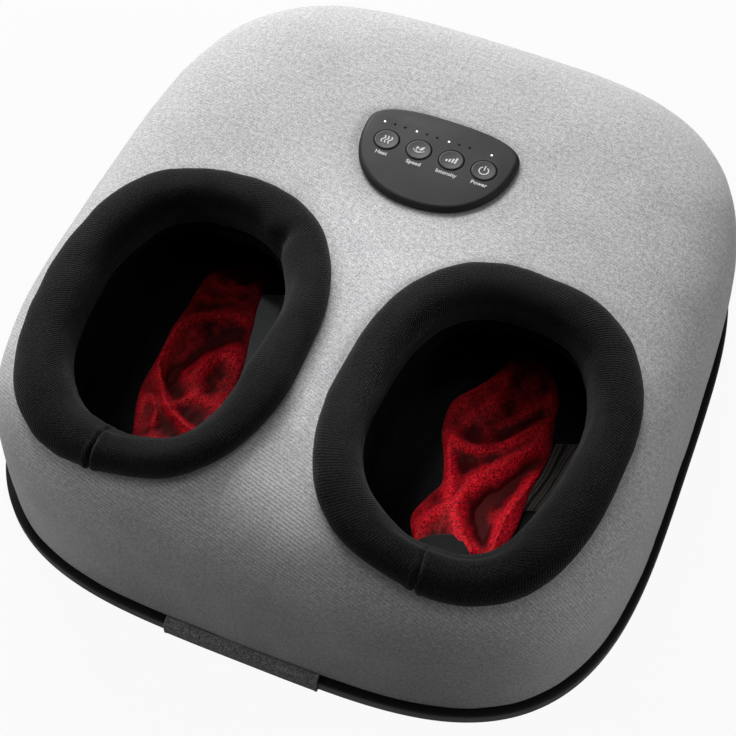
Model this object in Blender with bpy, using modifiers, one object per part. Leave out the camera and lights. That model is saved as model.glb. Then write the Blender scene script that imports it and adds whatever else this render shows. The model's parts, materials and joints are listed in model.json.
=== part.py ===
"""Foot massager: padded fabric hood, two heated foot pockets and geared kneading discs.

Units are metres. +X is the right foot's side, -Y the heel side, +Y the control panel's side, +Z up.
"""
import math

import bmesh
import bpy
from mathutils import Matrix, Vector
from mathutils.bvhtree import BVHTree

for item in list(bpy.data.objects):
    bpy.data.objects.remove(item)

# Driving dimensions of the hood and the base
hood_width = 0.400
hood_depth = 0.431
hood_height = 0.120
corner_power = 3.65
shoulder_power = 5.5
rear_taper_share = 0.03
front_rise_share = 0.035
rim_overhang = 0.0046
rim_height = 0.0112
foot_height = 0.004

# Walls, cloths and clearances
clearance = 0.0003
seat_gap = 0.0004
fabric_thickness = 0.0015
shell_wall = 0.0025
base_wall = 0.0025
pocket_wall = 0.0014
lining_thickness = 0.0009

# Foot mouths and collars
mouth_side_share = 0.4625
mouth_back_share = 0.4110
collar_half_width = 0.0815
collar_half_length = 0.1023
collar_width = 0.026
collar_rise = 0.0115
collar_drop = 0.0165
collar_power = 2.5
toe_out = math.radians(3.0)
sole_rise = 0.0536

# Control panel
panel_back_share = 0.309
panel_rise = 0.0040
panel_plate = 0.0028
panel_skirt = 0.0110
button_radius = 0.0079
button_pitch = 0.0211
button_travel = 0.0008
light_pitch = 0.0067
light_back = 0.0135

# Gear train
gear_module = 0.0027
wheel_teeth = 24
worm_pitch_radius = 0.0081
pressure_angle = math.radians(20.0)
backlash = 0.0003
wheel_face = 0.008
shaft_radius = 0.0025
shaft_rise = 0.0205
train_back = -0.020
disc_offset = 0.002
motor_radius = 0.0185
motor_length = 0.060

# Numbers of steps round each kind of piece
hood_steps = 40
hood_levels = 7
collar_steps = 28
pocket_steps = 20
round_steps = 16
small_steps = 8
corner_steps = 3

# Hood detail
corner_crowding_share = 0.12
shoulder_crowding = 1.35
first_level_angle = math.radians(76.0)
mouth_cut_offset = -0.0046
probe_step = 0.00001
probe_length = 0.020
merge_distance = 0.00005
sharp_edge = math.radians(40.0)
steepest_corner = 0.5
embed = 0.0005
cut_overrun = 0.001

# Base detail
rim_round = 0.0026
flange_thickness = 0.0025
flange_width = 0.0115
pillar_radius = 0.005
pillar_shares = ((0.70, 0.65), (0.80, -0.56), (0.0, -0.74))
screw_radius = 0.003
screw_depth = 0.009
standoff_radius = 0.0025
standoff_inset = 0.004
foot_share = 0.72
foot_radius = 0.011
foot_seat = 0.0012
foot_round = 0.001
vent_count = 5
vent_side_share = -0.30
vent_back_share = 0.6033
vent_pitch = 0.008
vent_width = 0.003
vent_length = 0.026
rib_count = 4
rib_pitch = 0.032
rib_length = 0.110
rib_width = 0.0016
rib_height = 0.0012
inlet_drop = 0.0054

# Front pull tab
tab_width = 0.098
tab_steps = 4
tab_gap = 0.0004
tab_thickness = 0.0014
tab_root_gap = 0.0006
tab_tuck = 0.016
tab_corner_share = 0.3

# Collar, pocket, lining and heater detail
roll_steps = 5
roll_base = 0.0009
collar_dip_shares = ((-1.00, 0.45), (-0.93, 0.85), (-0.72, 1.00), (-0.52, 0.85), (-0.46, 0.20))
collar_seat_shares = (-0.36, 0.40)
pocket_rim_offset = -0.0097
pocket_seat = 0.0011
lining_gap = 0.0006
lining_rows = 12
lining_columns = 6
lining_heel_share = -1.094
lining_toe_share = 0.684
lining_half_width = 0.034
lining_end_share = 0.25
crease_turns = 14.0
crease_skew = 0.12
crease_height = 0.0022
heater_width = 0.062
heater_heel_share = -0.833
heater_toe_share = 0.486
heater_round = 0.010
heater_thickness = 0.0008
heater_slot = 0.003
heater_slot_share = 0.6
heater_slot_pitch = 0.047
heater_slots = 3

# Pocket: its toe end's reach ahead of the part's middle, its room over the sole and its half width
pocket_reach = 0.144
pocket_room = 0.0524
pocket_half_width = 0.058

# Each station holds the instep edge's reach and height, the sole edge's reach and height and the
# half width, as shares of the sizes above, and then the fullness of its section
pocket_station_shares = (
    (-0.073, 1.000, -1.215, 0.685, 1.000, 2.6),
    (-0.069, 0.975, -1.212, 0.342, 0.990, 2.8),
    (-0.063, 0.960, -1.125, 0.074, 0.965, 3.0),
    (-0.052, 0.952, -0.917, 0.010, 0.930, 3.2),
    (-0.038, 0.948, -0.639, 0.000, 0.895, 3.5),
    (-0.021, 0.947, -0.333, 0.000, 0.860, 3.8),
    (0.007, 0.945, -0.021, 0.000, 0.845, 4.0),
    (0.243, 0.942, 0.243, 0.010, 0.845, 4.2),
    (0.521, 0.925, 0.521, 0.046, 0.828, 4.0),
    (0.750, 0.885, 0.750, 0.103, 0.760, 3.6),
    (0.917, 0.810, 0.917, 0.180, 0.603, 3.0),
    (1.000, 0.690, 1.000, 0.295, 0.362, 2.5),
)

# Panel detail
panel_half_width = 0.0495
panel_shift = 0.0022
panel_front = -0.0320
panel_rear = 0.0395
panel_widest = 0.0200
panel_front_power = 2.2
panel_rear_power = 2.6
panel_steps = 30
panel_round = 0.0035
panel_edge_shares = ((0.0, 0.42), (0.25, 0.76), (1.0, 1.0))
panel_hole_inset = 0.0032
panel_hole_depth = 0.012
panel_skirt_inset = 0.0037
panel_skirt_wall = 0.0012
light_counts = {"heat": 3, "speed": 3, "intensity": 3, "power": 1}
button_back = 0.0085
button_dish = 0.0002
button_rim_share = 0.88
button_proud = 0.0005
button_flange_radius = 0.0087
button_flange = 0.0007
stem_radius = 0.0016
stem_bottom = -0.0018
light_radius = 0.0006
light_steps = 5
runner_depth = 0.0012
runner_width = 0.0018
runner_overhang = 0.0012
board_top = -0.0050
board_thickness = 0.0014
board_width = 0.072
board_depth = 0.026
board_post_radius = 0.0014
board_post_spread = 0.0087
switch_size = 0.006
switch_height = 0.0022
plug_width = 0.012
plug_depth = 0.005
plug_height = 0.004

# Gear train detail
crest_share = 1.0
root_share = 1.25
worm_length = 0.026
worm_steps = 12
thread_turns = 2
thread_phase = math.pi / 2
thread_sink = 0.0005
hub_radius = 0.009
hub_drop = 0.0032
boss_radius = 0.0065
axle_radius = 0.003
frame_gap = 0.0048
frame_thickness = 0.0022
frame_inset = 0.016
frame_lip = 0.004
frame_lip_wall = 0.002
hub_hole_gap = 0.003
hub_rise = 0.0012
disc_thickness = 0.0035
disc_radius = 0.037
disc_lobe_share = 0.18
disc_steps = 21
dome_place = 0.0235
dome_radius = 0.0105
dome_levels = 3
dome_steps = 9
dome_count = 3
cap_gap = 0.0008
cap_ring_half = 0.005
cap_ring_thickness = 0.0018
motor_boss = 0.003
motor_boss_radius = 0.0065
motor_chamfer = 0.0014
shaft_end = 0.0025
saddle_drop = 0.006
saddle_length = 0.040
saddle_width = 0.046
saddle_chamfer = 0.0015
bearing_gap = 0.0105
bearing_radius = 0.0075
bearing_foot = 0.010
bearing_flange = 0.003
bearing_length = 0.007
bearing_arc_steps = 8
window_gap = 0.0015

# Air and power detail
bag_ring_shares = (0.57, 0.93, 1.0)
bag_fullness = 3.0
bag_power = 3.0
bag_steps = 16
bag_half_thickness = 0.0040
bag_end_gap = 0.0005
channel_share = 0.35
channel_width = 0.006
instep_half_x = 0.040
instep_half_y = 0.042
instep_back_share = 0.4167
instep_gap = 0.0016
instep_tilt = math.radians(-1.4)
side_bag_half_z = 0.018
side_bag_half_y = 0.045
side_bag_inset = 0.0445
side_bag_back = -0.060
side_bag_height = 0.086
side_bag_lean = math.radians(-6.0)
hose_radius = 0.0022
hose_bend = 0.014
hose_hole_gap = 0.0030
hose_resolution = 3
riser_side = 0.013
side_port = 0.022
side_hose_back_share = 0.4826
hose_climb = 0.0033
port_height = 0.004
valve_length = 0.060
valve_width = 0.016
valve_height = 0.012
valve_back_share = 0.4548
valve_chamfer = 0.0008
pump_length = 0.034
pump_width = 0.030
pump_height = 0.026
pump_side_share = 0.20
pump_back_share = 0.6775
pump_chamfer = 0.0015
pump_can_radius = 0.0115
pump_can_length = 0.034
pump_can_lift = 0.013
pump_fins = 4
pump_fin_pitch = 0.007
pump_fin_gap = 0.002
pump_fin_depth = 0.002
inlet_side_share = 0.30
inlet_radius = 0.0033
inlet_length = 0.014
inlet_proud = 0.0004
inlet_socket = 0.0026
inlet_depth = 0.009
inlet_pin = 0.0009
inlet_pin_end = 0.001
main_board_lift = 0.0030
main_board_side_share = 0.35
main_board_back_share = 0.6497
main_board_width = 0.066
main_board_depth = 0.050
component_height = 0.012

# Components of the main board: places across and along it, width, depth and height
component_shares = (
    (-0.33, 0.24, 0.21, 0.24, 1.00),
    (-0.03, 0.28, 0.18, 0.20, 0.75),
    (0.30, 0.20, 0.24, 0.28, 0.83),
    (-0.27, -0.24, 0.18, 0.24, 0.25),
    (0.09, -0.20, 0.27, 0.16, 0.42),
)

# Sizes that follow from the driving dimensions
half_width = hood_width / 2
half_depth = hood_depth / 2
base_floor = foot_height + base_wall
rim_top = foot_height + rim_height
hem_height = rim_top + seat_gap
inlet_height = rim_top - inlet_drop
mouth_side = half_width * mouth_side_share
mouth_back = -half_depth * mouth_back_share
sole_height = base_floor + sole_rise
panel_back = half_depth * panel_back_share
shell_inset = fabric_thickness + clearance
wheel_pitch_radius = gear_module * wheel_teeth / 2
gear_distance = wheel_pitch_radius + worm_pitch_radius
thread_pitch = math.pi * gear_module
shaft_height = base_floor + shaft_rise
wheel_low = shaft_height - wheel_face / 2
hub_low = wheel_low - hub_drop
frame_height = shaft_height + wheel_face / 2 + frame_gap
frame_top = frame_height + frame_thickness
hub_top = frame_top + hub_rise
disc_height = hub_top + clearance
disc_top = disc_height + disc_thickness
heater_height = sole_height - pocket_wall - seat_gap - heater_thickness
cap_top = heater_height - cap_gap
disc_side = mouth_side + disc_offset
bearing_side = disc_side + worm_length / 2 + bearing_gap
shaft_length = 2 * (bearing_side + bearing_length / 2 + shaft_end)
instep_height = sole_height + pocket_room + instep_gap
side_bag_side = half_width - side_bag_inset
seat_low = base_floor + clearance
lining_heel = pocket_reach * lining_heel_share - mouth_back
lining_toe = pocket_reach * lining_toe_share - mouth_back
heater_heel = pocket_reach * heater_heel_share
heater_toe = pocket_reach * heater_toe_share
instep_back = pocket_reach * instep_back_share
side_hose_back = half_depth * side_hose_back_share
valve_back = half_depth * valve_back_share
pump_side = half_width * pump_side_share
pump_back = half_depth * pump_back_share
vent_side = half_width * vent_side_share
vent_back = half_depth * vent_back_share
inlet_side = half_width * inlet_side_share
main_board_side = half_width * main_board_side_share
main_board_back = half_depth * main_board_back_share
SIDES = {"left": -1, "right": 1}

parts = bpy.data.collections.new("foot_massager")
cutters = bpy.data.collections.new("cutters")
bpy.context.scene.collection.children.link(parts)
bpy.context.scene.collection.children.link(cutters)


# Materials

def make_material(name, colour, roughness, metallic=0.0):
    material = bpy.data.materials.new(name)
    material.use_nodes = True
    shader = material.node_tree.nodes["Principled BSDF"]
    shader.inputs["Base Color"].default_value = (*colour, 1.0)
    shader.inputs["Roughness"].default_value = roughness
    shader.inputs["Metallic"].default_value = metallic
    return material


MATERIALS = {
    "knit": make_material("grey_knit", (0.50, 0.50, 0.50), 0.95),
    "neoprene": make_material("black_neoprene", (0.020, 0.020, 0.022), 0.90),
    "pocket": make_material("black_lining", (0.012, 0.012, 0.013), 0.95),
    "satin": make_material("red_satin", (0.40, 0.010, 0.020), 0.40),
    "hard_black": make_material("black_plastic", (0.015, 0.015, 0.016), 0.50),
    "panel": make_material("panel_plastic", (0.030, 0.031, 0.034), 0.35),
    "button": make_material("button_plastic", (0.045, 0.046, 0.050), 0.40),
    "shell": make_material("shell_plastic", (0.25, 0.25, 0.26), 0.55),
    "frame": make_material("frame_plastic", (0.08, 0.08, 0.09), 0.55),
    "light": make_material("light_guide", (0.85, 0.87, 0.90), 0.20),
    "board": make_material("circuit_board", (0.02, 0.12, 0.06), 0.45),
    "rubber": make_material("black_rubber", (0.02, 0.02, 0.02), 0.85),
    "steel": make_material("steel", (0.55, 0.55, 0.56), 0.30, 1.0),
    "gear": make_material("gear_plastic", (0.80, 0.80, 0.76), 0.45),
    "disc": make_material("disc_plastic", (0.10, 0.10, 0.11), 0.50),
    "silicone": make_material("silicone", (0.55, 0.12, 0.10), 0.60),
    "airbag": make_material("airbag_film", (0.30, 0.31, 0.33), 0.40),
    "heater": make_material("heater_film", (0.45, 0.25, 0.05), 0.60),
    "hose": make_material("hose_tube", (0.70, 0.71, 0.72), 0.35),
    "inlet": make_material("inlet_plastic", (0.02, 0.02, 0.02), 0.40),
}


# Meshes

def mesh_from(name, points, faces):
    """Makes a mesh whose faces all look outwards."""
    mesh = bpy.data.meshes.new(name)
    mesh.from_pydata([tuple(point) for point in points], [], faces)
    work = bmesh.new()
    work.from_mesh(mesh)
    bmesh.ops.recalc_face_normals(work, faces=work.faces)
    work.to_mesh(mesh)
    work.free()
    return mesh


def link_part(name, mesh, material, place=None):
    """Adds a named part. Its place puts its origin on its own joint axis, where it has one."""
    if mesh.polygons:
        mesh.shade_smooth()
        mesh.set_sharp_from_angle(angle=sharp_edge)
    part = bpy.data.objects.new(name, mesh)
    if place is not None:
        part.matrix_world = place
    part.data.materials.append(MATERIALS[material])
    parts.objects.link(part)
    return part


def link_cutter(mesh, place=None):
    cutter = bpy.data.objects.new(mesh.name, mesh)
    if place is not None:
        cutter.matrix_world = place
    cutter.display_type = "WIRE"
    cutter.hide_render = True
    cutters.objects.link(cutter)
    return cutter


def combine(part, other, operation="DIFFERENCE"):
    modifier = part.modifiers.new(other.name, "BOOLEAN")
    modifier.operation = operation
    modifier.solver = "EXACT"
    modifier.object = other


def bevel(part, width):
    modifier = part.modifiers.new("edges", "BEVEL")
    modifier.width = width
    modifier.segments = 1
    modifier.limit_method = "ANGLE"
    modifier.angle_limit = sharp_edge


def thicken(part, thickness, offset):
    """Gives an open surface its wall: an offset of 1 grows it outwards, -1 inwards."""
    modifier = part.modifiers.new("wall", "SOLIDIFY")
    modifier.thickness = thickness
    modifier.offset = offset
    modifier.use_even_offset = True


def loft(name, rings, closed_ends="both"):
    """Skins a row of rings that have equal point counts, and closes the first, the last or both."""
    count = len(rings[0])
    points = [point for ring in rings for point in ring]
    faces = []
    for level in range(len(rings) - 1):
        low = level * count
        high = low + count
        for step in range(count):
            following = (step + 1) % count
            faces.append((low + step, low + following, high + following, high + step))
    last = (len(rings) - 1) * count
    if closed_ends != "last":
        faces.append(tuple(reversed(range(count))))
    if closed_ends != "first":
        faces.append(tuple(range(last, last + count)))
    return mesh_from(name, points, faces)


def hoop(name, rings):
    """Skins a closed row of rings, so the last meets the first."""
    count = len(rings[0])
    points = [point for ring in rings for point in ring]
    faces = []
    for level in range(len(rings)):
        low = level * count
        high = (level + 1) % len(rings) * count
        for step in range(count):
            following = (step + 1) % count
            faces.append((low + step, low + following, high + following, high + step))
    return mesh_from(name, points, faces)


def prism(name, outline, low, high):
    """Extrudes a flat outline between two heights."""
    work = bmesh.new()
    corners = [work.verts.new((x, y, low)) for x, y in outline]
    face = work.faces.new(corners)
    raised = bmesh.ops.extrude_face_region(work, geom=[face])
    lifted = [item for item in raised["geom"] if isinstance(item, bmesh.types.BMVert)]
    bmesh.ops.translate(work, verts=lifted, vec=(0.0, 0.0, high - low))
    bmesh.ops.recalc_face_normals(work, faces=work.faces)
    mesh = bpy.data.meshes.new(name)
    work.to_mesh(mesh)
    work.free()
    return mesh


def box(name, size, centre=(0.0, 0.0, 0.0)):
    work = bmesh.new()
    bmesh.ops.create_cube(work, size=1.0)
    bmesh.ops.scale(work, verts=work.verts, vec=size)
    bmesh.ops.translate(work, verts=work.verts, vec=centre)
    mesh = bpy.data.meshes.new(name)
    work.to_mesh(mesh)
    work.free()
    return mesh


def rod(name, radius, low, high, steps):
    """Cylinder round Z between two heights, with its first corner at +X like a turned piece's."""
    work = bmesh.new()
    place = move(0.0, 0.0, (low + high) / 2) @ turn(math.pi / 2, "Z")
    bmesh.ops.create_cone(work, cap_ends=True, segments=steps, radius1=radius, radius2=radius,
                          depth=high - low, matrix=place)
    mesh = bpy.data.meshes.new(name)
    work.to_mesh(mesh)
    work.free()
    return mesh


def turned(part_name, profile, ring=False):
    """Mesh of (radius, height) points, for a Screw to turn round Z. A ring's profile is a loop."""
    mesh = bpy.data.meshes.new(part_name)
    edges = [(index, index + 1) for index in range(len(profile) - 1)]
    if ring:
        edges.append((len(profile) - 1, 0))
    mesh.from_pydata([(radius, 0.0, height) for radius, height in profile], edges, [])
    return mesh


def spin(item, steps):
    """Turns an item's profile round its own Z axis."""
    modifier = item.modifiers.new("turn", "SCREW")
    modifier.axis = "Z"
    modifier.angle = math.tau
    modifier.steps = steps
    modifier.render_steps = steps
    modifier.use_merge_vertices = True
    modifier.merge_threshold = merge_distance
    modifier.use_smooth_shade = True
    return item


def rounded_outline(corners, steps):
    """Outline through (x, y, radius) corners taken anticlockwise, each rounded by an arc."""
    outline = []
    total = len(corners)
    for index, (x, y, radius) in enumerate(corners):
        here = Vector((x, y))
        before = (Vector(corners[index - 1][:2]) - here).normalized()
        after = (Vector(corners[(index + 1) % total][:2]) - here).normalized()
        half = before.angle(after) / 2
        centre = here + (before + after).normalized() * (radius / math.sin(half))
        first = here + before * (radius / math.tan(half)) - centre
        start = math.atan2(first.y, first.x)
        sweep = math.pi - 2 * half
        for step in range(steps + 1):
            angle = start + sweep * step / steps
            outline.append((centre.x + radius * math.cos(angle), centre.y + radius * math.sin(angle)))
    return outline


def grown(outline, amount):
    """Moves each point of an anticlockwise outline outwards along its own normal."""
    result = []
    total = len(outline)
    for index in range(total):
        here = Vector(outline[index])
        before = (here - Vector(outline[index - 1])).normalized()
        after = (Vector(outline[(index + 1) % total]) - here).normalized()
        along = before + after
        along.normalize()
        reach = amount / max(along.dot(after), steepest_corner)
        result.append((here.x + along.y * reach, here.y - along.x * reach))
    return result


def move(x, y, z):
    return Matrix.Translation((x, y, z))


def turn(angle, axis):
    return Matrix.Rotation(angle, 4, axis)


# The hood's surface

def sized(value, power):
    return math.copysign(abs(value) ** power, value)


def unit_outline(angle):
    """Point of the hood's plan outline, for a half width and half depth of 1."""
    across = math.cos(angle)
    along = math.sin(angle)
    size = (abs(across) ** corner_power + abs(along) ** corner_power) ** (-1 / corner_power)
    return across * size, along * size


def hood_angles():
    """Angles round the hood, crowded towards its corners."""
    angles = []
    for step in range(hood_steps):
        angle = math.tau * step / hood_steps
        angles.append(angle + corner_crowding_share * math.sin(4 * angle))
    return angles


def plan_taper(y):
    return 1 - rear_taper_share * y / half_depth


def crown_share(y):
    return 1 - front_rise_share * y / half_depth


def hood_field(point):
    """1 on the fabric's outer face, less inside it."""
    across = abs(point.x / plan_taper(point.y) / half_width)
    along = abs(point.y / half_depth)
    reach = (across ** corner_power + along ** corner_power) ** (1 / corner_power)
    rise = abs(point.z - hem_height) / (hood_height * crown_share(point.y))
    return reach ** shoulder_power + rise ** shoulder_power


def hood_normal(point):
    slope = []
    for axis in range(3):
        step = Vector((0.0, 0.0, 0.0))
        step[axis] = probe_step
        slope.append(hood_field(point + step) - hood_field(point - step))
    return Vector(slope).normalized()


def hood_top(x, y):
    """Height of the fabric's outer face over a plan point."""
    across = abs(x / plan_taper(y) / half_width)
    along = abs(y / half_depth)
    reach = (across ** corner_power + along ** corner_power) ** (1 / corner_power)
    rise = max(0.0, 1 - reach ** shoulder_power) ** (1 / shoulder_power)
    return hem_height + hood_height * crown_share(y) * rise


def over_hood(x, y, lift):
    """Point at a distance off the fabric's outer face, over a plan point."""
    point = Vector((x, y, hood_top(x, y)))
    return point + hood_normal(point) * lift


def hood_rings(inset):
    """Rings from the crown down to the hem, at an inset from the fabric's outer face."""
    rings = []
    for level in range(hood_levels):
        share = level / (hood_levels - 1)
        spread = 2 * share - 1
        crowded = math.copysign(abs(spread) ** shoulder_crowding, spread)
        angle = first_level_angle * (1 - crowded) / 2
        total = math.cos(angle) ** shoulder_power + math.sin(angle) ** shoulder_power
        size = total ** (-1 / shoulder_power)
        reach = math.cos(angle) * size
        rise = math.sin(angle) * size
        ring = []
        for around in hood_angles():
            across, along = unit_outline(around)
            y = along * reach * half_depth
            x = across * reach * half_width * plan_taper(y)
            point = Vector((x, y, hem_height + rise * hood_height * crown_share(y)))
            ring.append(point - hood_normal(point) * inset)
        rings.append(ring)
    return rings


def hood_skin(name, inset, thickness, material):
    part = link_part(name, loft(name, hood_rings(inset), "first"), material)
    thicken(part, thickness, -1.0)
    return part


def base_ring(inset, height):
    """Ring of the base's outline, which stands out past the hem."""
    ring = []
    for around in hood_angles():
        across, along = unit_outline(around)
        y = along * half_depth
        x = across * half_width * plan_taper(y)
        outwards = hood_normal(Vector((x, y, hem_height)))
        ring.append(Vector((x, y, 0.0)) + outwards * (rim_overhang - inset) + Vector((0.0, 0.0, height)))
    return ring


# The foot mouths

def pocket_plan(side, across, along):
    """Plan point in a foot's own frame, which is turned toes out round its mouth's centre."""
    x = across * math.cos(toe_out) + along * math.sin(toe_out)
    y = along * math.cos(toe_out) - across * math.sin(toe_out)
    return side * (mouth_side + x), mouth_back + y


def mouth_outline(side, offset, steps):
    """Outline round a mouth, at an offset outwards from the collar's centre line."""
    outline = []
    for step in range(steps):
        angle = math.tau * step / steps
        across = (collar_half_width - collar_width / 2 + offset) * sized(math.cos(angle), 2 / collar_power)
        along = (collar_half_length - collar_width / 2 + offset) * sized(math.sin(angle), 2 / collar_power)
        outline.append(pocket_plan(side, across, along))
    return outline


# Cover, shell and base

def panel_matrix():
    """The panel's own frame: X across, Y to the rear along the hood, Z out of the hood."""
    point = over_hood(panel_shift, panel_back, 0.0)
    ahead = over_hood(panel_shift, panel_back + probe_length, 0.0) - point
    out = over_hood(panel_shift, panel_back, 1.0) - point
    across = ahead.cross(out).normalized()
    along = out.cross(across).normalized()
    frame = Matrix((across, along, out.normalized())).transposed().to_4x4()
    return Matrix.Translation(point) @ frame


def mouth_cutter(side):
    outline = mouth_outline(side, mouth_cut_offset, collar_steps)
    return link_cutter(prism("mouth_hole", outline, hem_height + hood_height / 2, hood_height * 2))


def make_hood():
    cover = hood_skin("fabric_cover", 0.0, fabric_thickness, "knit")
    shell = hood_skin("top_shell", shell_inset, shell_wall, "shell")
    hole = grown(panel_outline(), -panel_hole_inset)
    panel_hole = link_cutter(prism("panel_hole", hole, -panel_hole_depth, panel_hole_depth), panel_matrix())
    mouths = [mouth_cutter(side) for side in SIDES.values()]
    for skin in (cover, shell):
        for cutter in mouths + [panel_hole]:
            combine(skin, cutter)


def make_base():
    rings = [
        base_ring(base_wall, base_floor),
        base_ring(base_wall, rim_top - flange_thickness),
        base_ring(flange_width, rim_top - flange_thickness),
        base_ring(flange_width, rim_top),
        base_ring(rim_round, rim_top),
        base_ring(0.0, rim_top - rim_round),
        base_ring(0.0, foot_height + rim_round),
        base_ring(rim_round, foot_height),
    ]
    base = link_part("base_pan", loft("base_pan", rings), "hard_black")
    for x, y in pillar_places():
        mesh = rod("pillar", pillar_radius, base_floor - embed, frame_height - clearance, small_steps)
        combine(base, link_cutter(mesh, move(x, y, 0.0)), "UNION")
        recess = rod("screw_recess", screw_radius, foot_height - cut_overrun, foot_height + screw_depth,
                     small_steps)
        combine(base, link_cutter(recess, move(x, y, 0.0)))
    for x, y in standoff_places():
        mesh = rod("standoff", standoff_radius, base_floor - embed, base_floor + main_board_lift - clearance,
                   small_steps)
        combine(base, link_cutter(mesh, move(x, y, 0.0)), "UNION")
    for _, _, x, y in disc_places():
        mesh = rod("axle_boss", boss_radius, base_floor - embed, hub_low - clearance, small_steps)
        combine(base, link_cutter(mesh, move(x, y, 0.0)), "UNION")
        hole = rod("axle_hole", axle_radius + clearance, seat_low, hub_low + cut_overrun, small_steps)
        combine(base, link_cutter(hole, move(x, y, 0.0)))
    for x, y in foot_places():
        mesh = rod("foot_recess", foot_radius + clearance, 0.0, foot_height + foot_seat, small_steps)
        combine(base, link_cutter(mesh, move(x, y, 0.0)))
    for index in range(vent_count):
        x = vent_side + (index - (vent_count - 1) / 2) * vent_pitch
        mesh = box("vent", (vent_width, vent_length, base_wall + 2 * cut_overrun),
                   (x, vent_back, foot_height + base_wall / 2))
        combine(base, link_cutter(mesh))
    for index in range(rib_count):
        y = train_back + (index - (rib_count - 1) / 2) * rib_pitch
        mesh = box("rib", (rib_length, rib_width, rib_height + embed),
                   (0.0, y, base_floor + (rib_height - embed) / 2))
        combine(base, link_cutter(mesh), "UNION")
    inlet_hole = rod("inlet_hole", inlet_radius + clearance, -inlet_length - cut_overrun, inlet_length,
                     small_steps)
    combine(base, link_cutter(inlet_hole, inlet_matrix()))


def inlet_matrix():
    """The power inlet's frame, with Z out through the rear wall of the base."""
    y = base_ring(0.0, 0.0)[hood_steps // 4].y
    return move(inlet_side, y, inlet_height) @ turn(-math.pi / 2, "X")


def pillar_places():
    """Plan places of the pillars that hold up the mid frame."""
    sides = [(half_width * share_x, half_depth * share_y) for share_x, share_y in pillar_shares]
    return sides + [(-x, y) for x, y in sides if x > 0]


def standoff_places():
    """Plan places of the standoffs under the main board's corners."""
    x = main_board_width / 2 - standoff_inset
    y = main_board_depth / 2 - standoff_inset
    corners = ((x, y), (-x, y), (-x, -y), (x, -y))
    return [(main_board_side + across, main_board_back + along) for across, along in corners]


def foot_places():
    x = half_width * foot_share
    y = half_depth * foot_share
    return [(x, y), (-x, y), (x, -y), (-x, -y)]


def make_feet():
    profile = [(0.0, foot_height + foot_seat - clearance), (foot_radius, foot_height + foot_seat - clearance),
               (foot_radius, foot_round), (foot_radius - foot_round, 0.0), (0.0, 0.0)]
    names = ("rear_right", "rear_left", "front_right", "front_left")
    for name, (x, y) in zip(names, foot_places()):
        mesh = turned(f"rubber_foot_{name}", profile)
        spin(link_part(mesh.name, mesh, "rubber", move(x, y, 0.0)), small_steps)


def make_pull_tab():
    """Cloth tab that hangs from the hem over the rim at the front centre, and is tucked under it."""
    section = [
        (rim_overhang - tab_root_gap, rim_top),
        (rim_round, rim_top),
        (rim_round * tab_corner_share, rim_top - rim_round * tab_corner_share),
        (0.0, rim_top - rim_round),
        (0.0, foot_height + rim_round),
        (rim_round * tab_corner_share, foot_height + rim_round * tab_corner_share),
        (rim_round, foot_height),
        (tab_tuck, foot_height),
    ]
    rings = []
    for step in range(tab_steps + 1):
        across = (step / tab_steps - 0.5) * tab_width
        along = -half_depth * (1 - abs(across / half_width) ** corner_power) ** (1 / corner_power)
        front = along - rim_overhang
        inner = []
        outer = []
        for index, (inset, height) in enumerate(section):
            before = Vector(section[max(index - 1, 0)])
            after = Vector(section[min(index + 1, len(section) - 1)])
            run = (after - before).normalized()
            out = Vector((run.y, -run.x))
            near = Vector((inset, height)) + out * tab_gap
            far = near + out * tab_thickness
            inner.append(Vector((across, front + near.x, near.y)))
            outer.append(Vector((across, front + far.x, far.y)))
        rings.append(inner + list(reversed(outer)))
    link_part("front_pull_tab", loft("front_pull_tab", rings), "knit")


# Collars, pockets and soles

def make_collar(side_name):
    """Stuffed roll round a foot mouth, lying on the hood and dipping into the mouth."""
    side = SIDES[side_name]
    half = collar_width / 2
    section = []
    for step in range(roll_steps + 1):
        angle = math.pi * step / roll_steps
        section.append((half * math.cos(angle), roll_base + (collar_rise - roll_base) * math.sin(angle)))
    section += [(half * across, -collar_drop * deep) for across, deep in collar_dip_shares]
    section += [(half * across, roll_base) for across in collar_seat_shares]
    rings = []
    for offset, lift in section:
        outline = mouth_outline(side, offset, collar_steps)
        rings.append([over_hood(x, y, lift) for x, y in outline])
    link_part(f"ankle_collar_{side_name}", hoop(f"ankle_collar_{side_name}", rings), "neoprene")


def pocket_ring(side, station):
    """Ring of a pocket's inner face, from its instep edge down to its heel or sole."""
    near_reach, near_height, far_reach, far_height, width, power = station
    ring = []
    for step in range(pocket_steps):
        angle = math.tau * step / pocket_steps
        across = pocket_half_width * width * sized(math.cos(angle), 2 / power)
        share = (1 + sized(math.sin(angle), 2 / power)) / 2
        reach = far_reach + (near_reach - far_reach) * share
        height = far_height + (near_height - far_height) * share
        x, y = pocket_plan(side, across, pocket_reach * reach - mouth_back)
        ring.append(Vector((x, y, sole_height + pocket_room * height)))
    return ring


def pocket_inside(side):
    outline = mouth_outline(side, pocket_rim_offset, pocket_steps)
    rings = [[over_hood(x, y, -collar_drop - pocket_seat) for x, y in outline]]
    for station in pocket_station_shares:
        rings.append(pocket_ring(side, station))
    return rings


def make_pocket(side_name):
    """Cloth pocket of a foot: open at the mouth, closed round the toes."""
    inner = pocket_inside(SIDES[side_name])
    pocket = link_part(f"foot_pocket_{side_name}", loft(f"foot_pocket_{side_name}", inner, "last"), "pocket")
    thicken(pocket, pocket_wall, 1.0)
    return BVHTree.FromPolygons(*ring_surface(inner))


def ring_surface(rings):
    count = len(rings[0])
    points = [point for ring in rings for point in ring]
    faces = []
    for level in range(len(rings) - 1):
        for step in range(count):
            following = (step + 1) % count
            low = level * count
            faces.append((low + step, low + following, low + count + following, low + count + step))
    return points, faces


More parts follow.
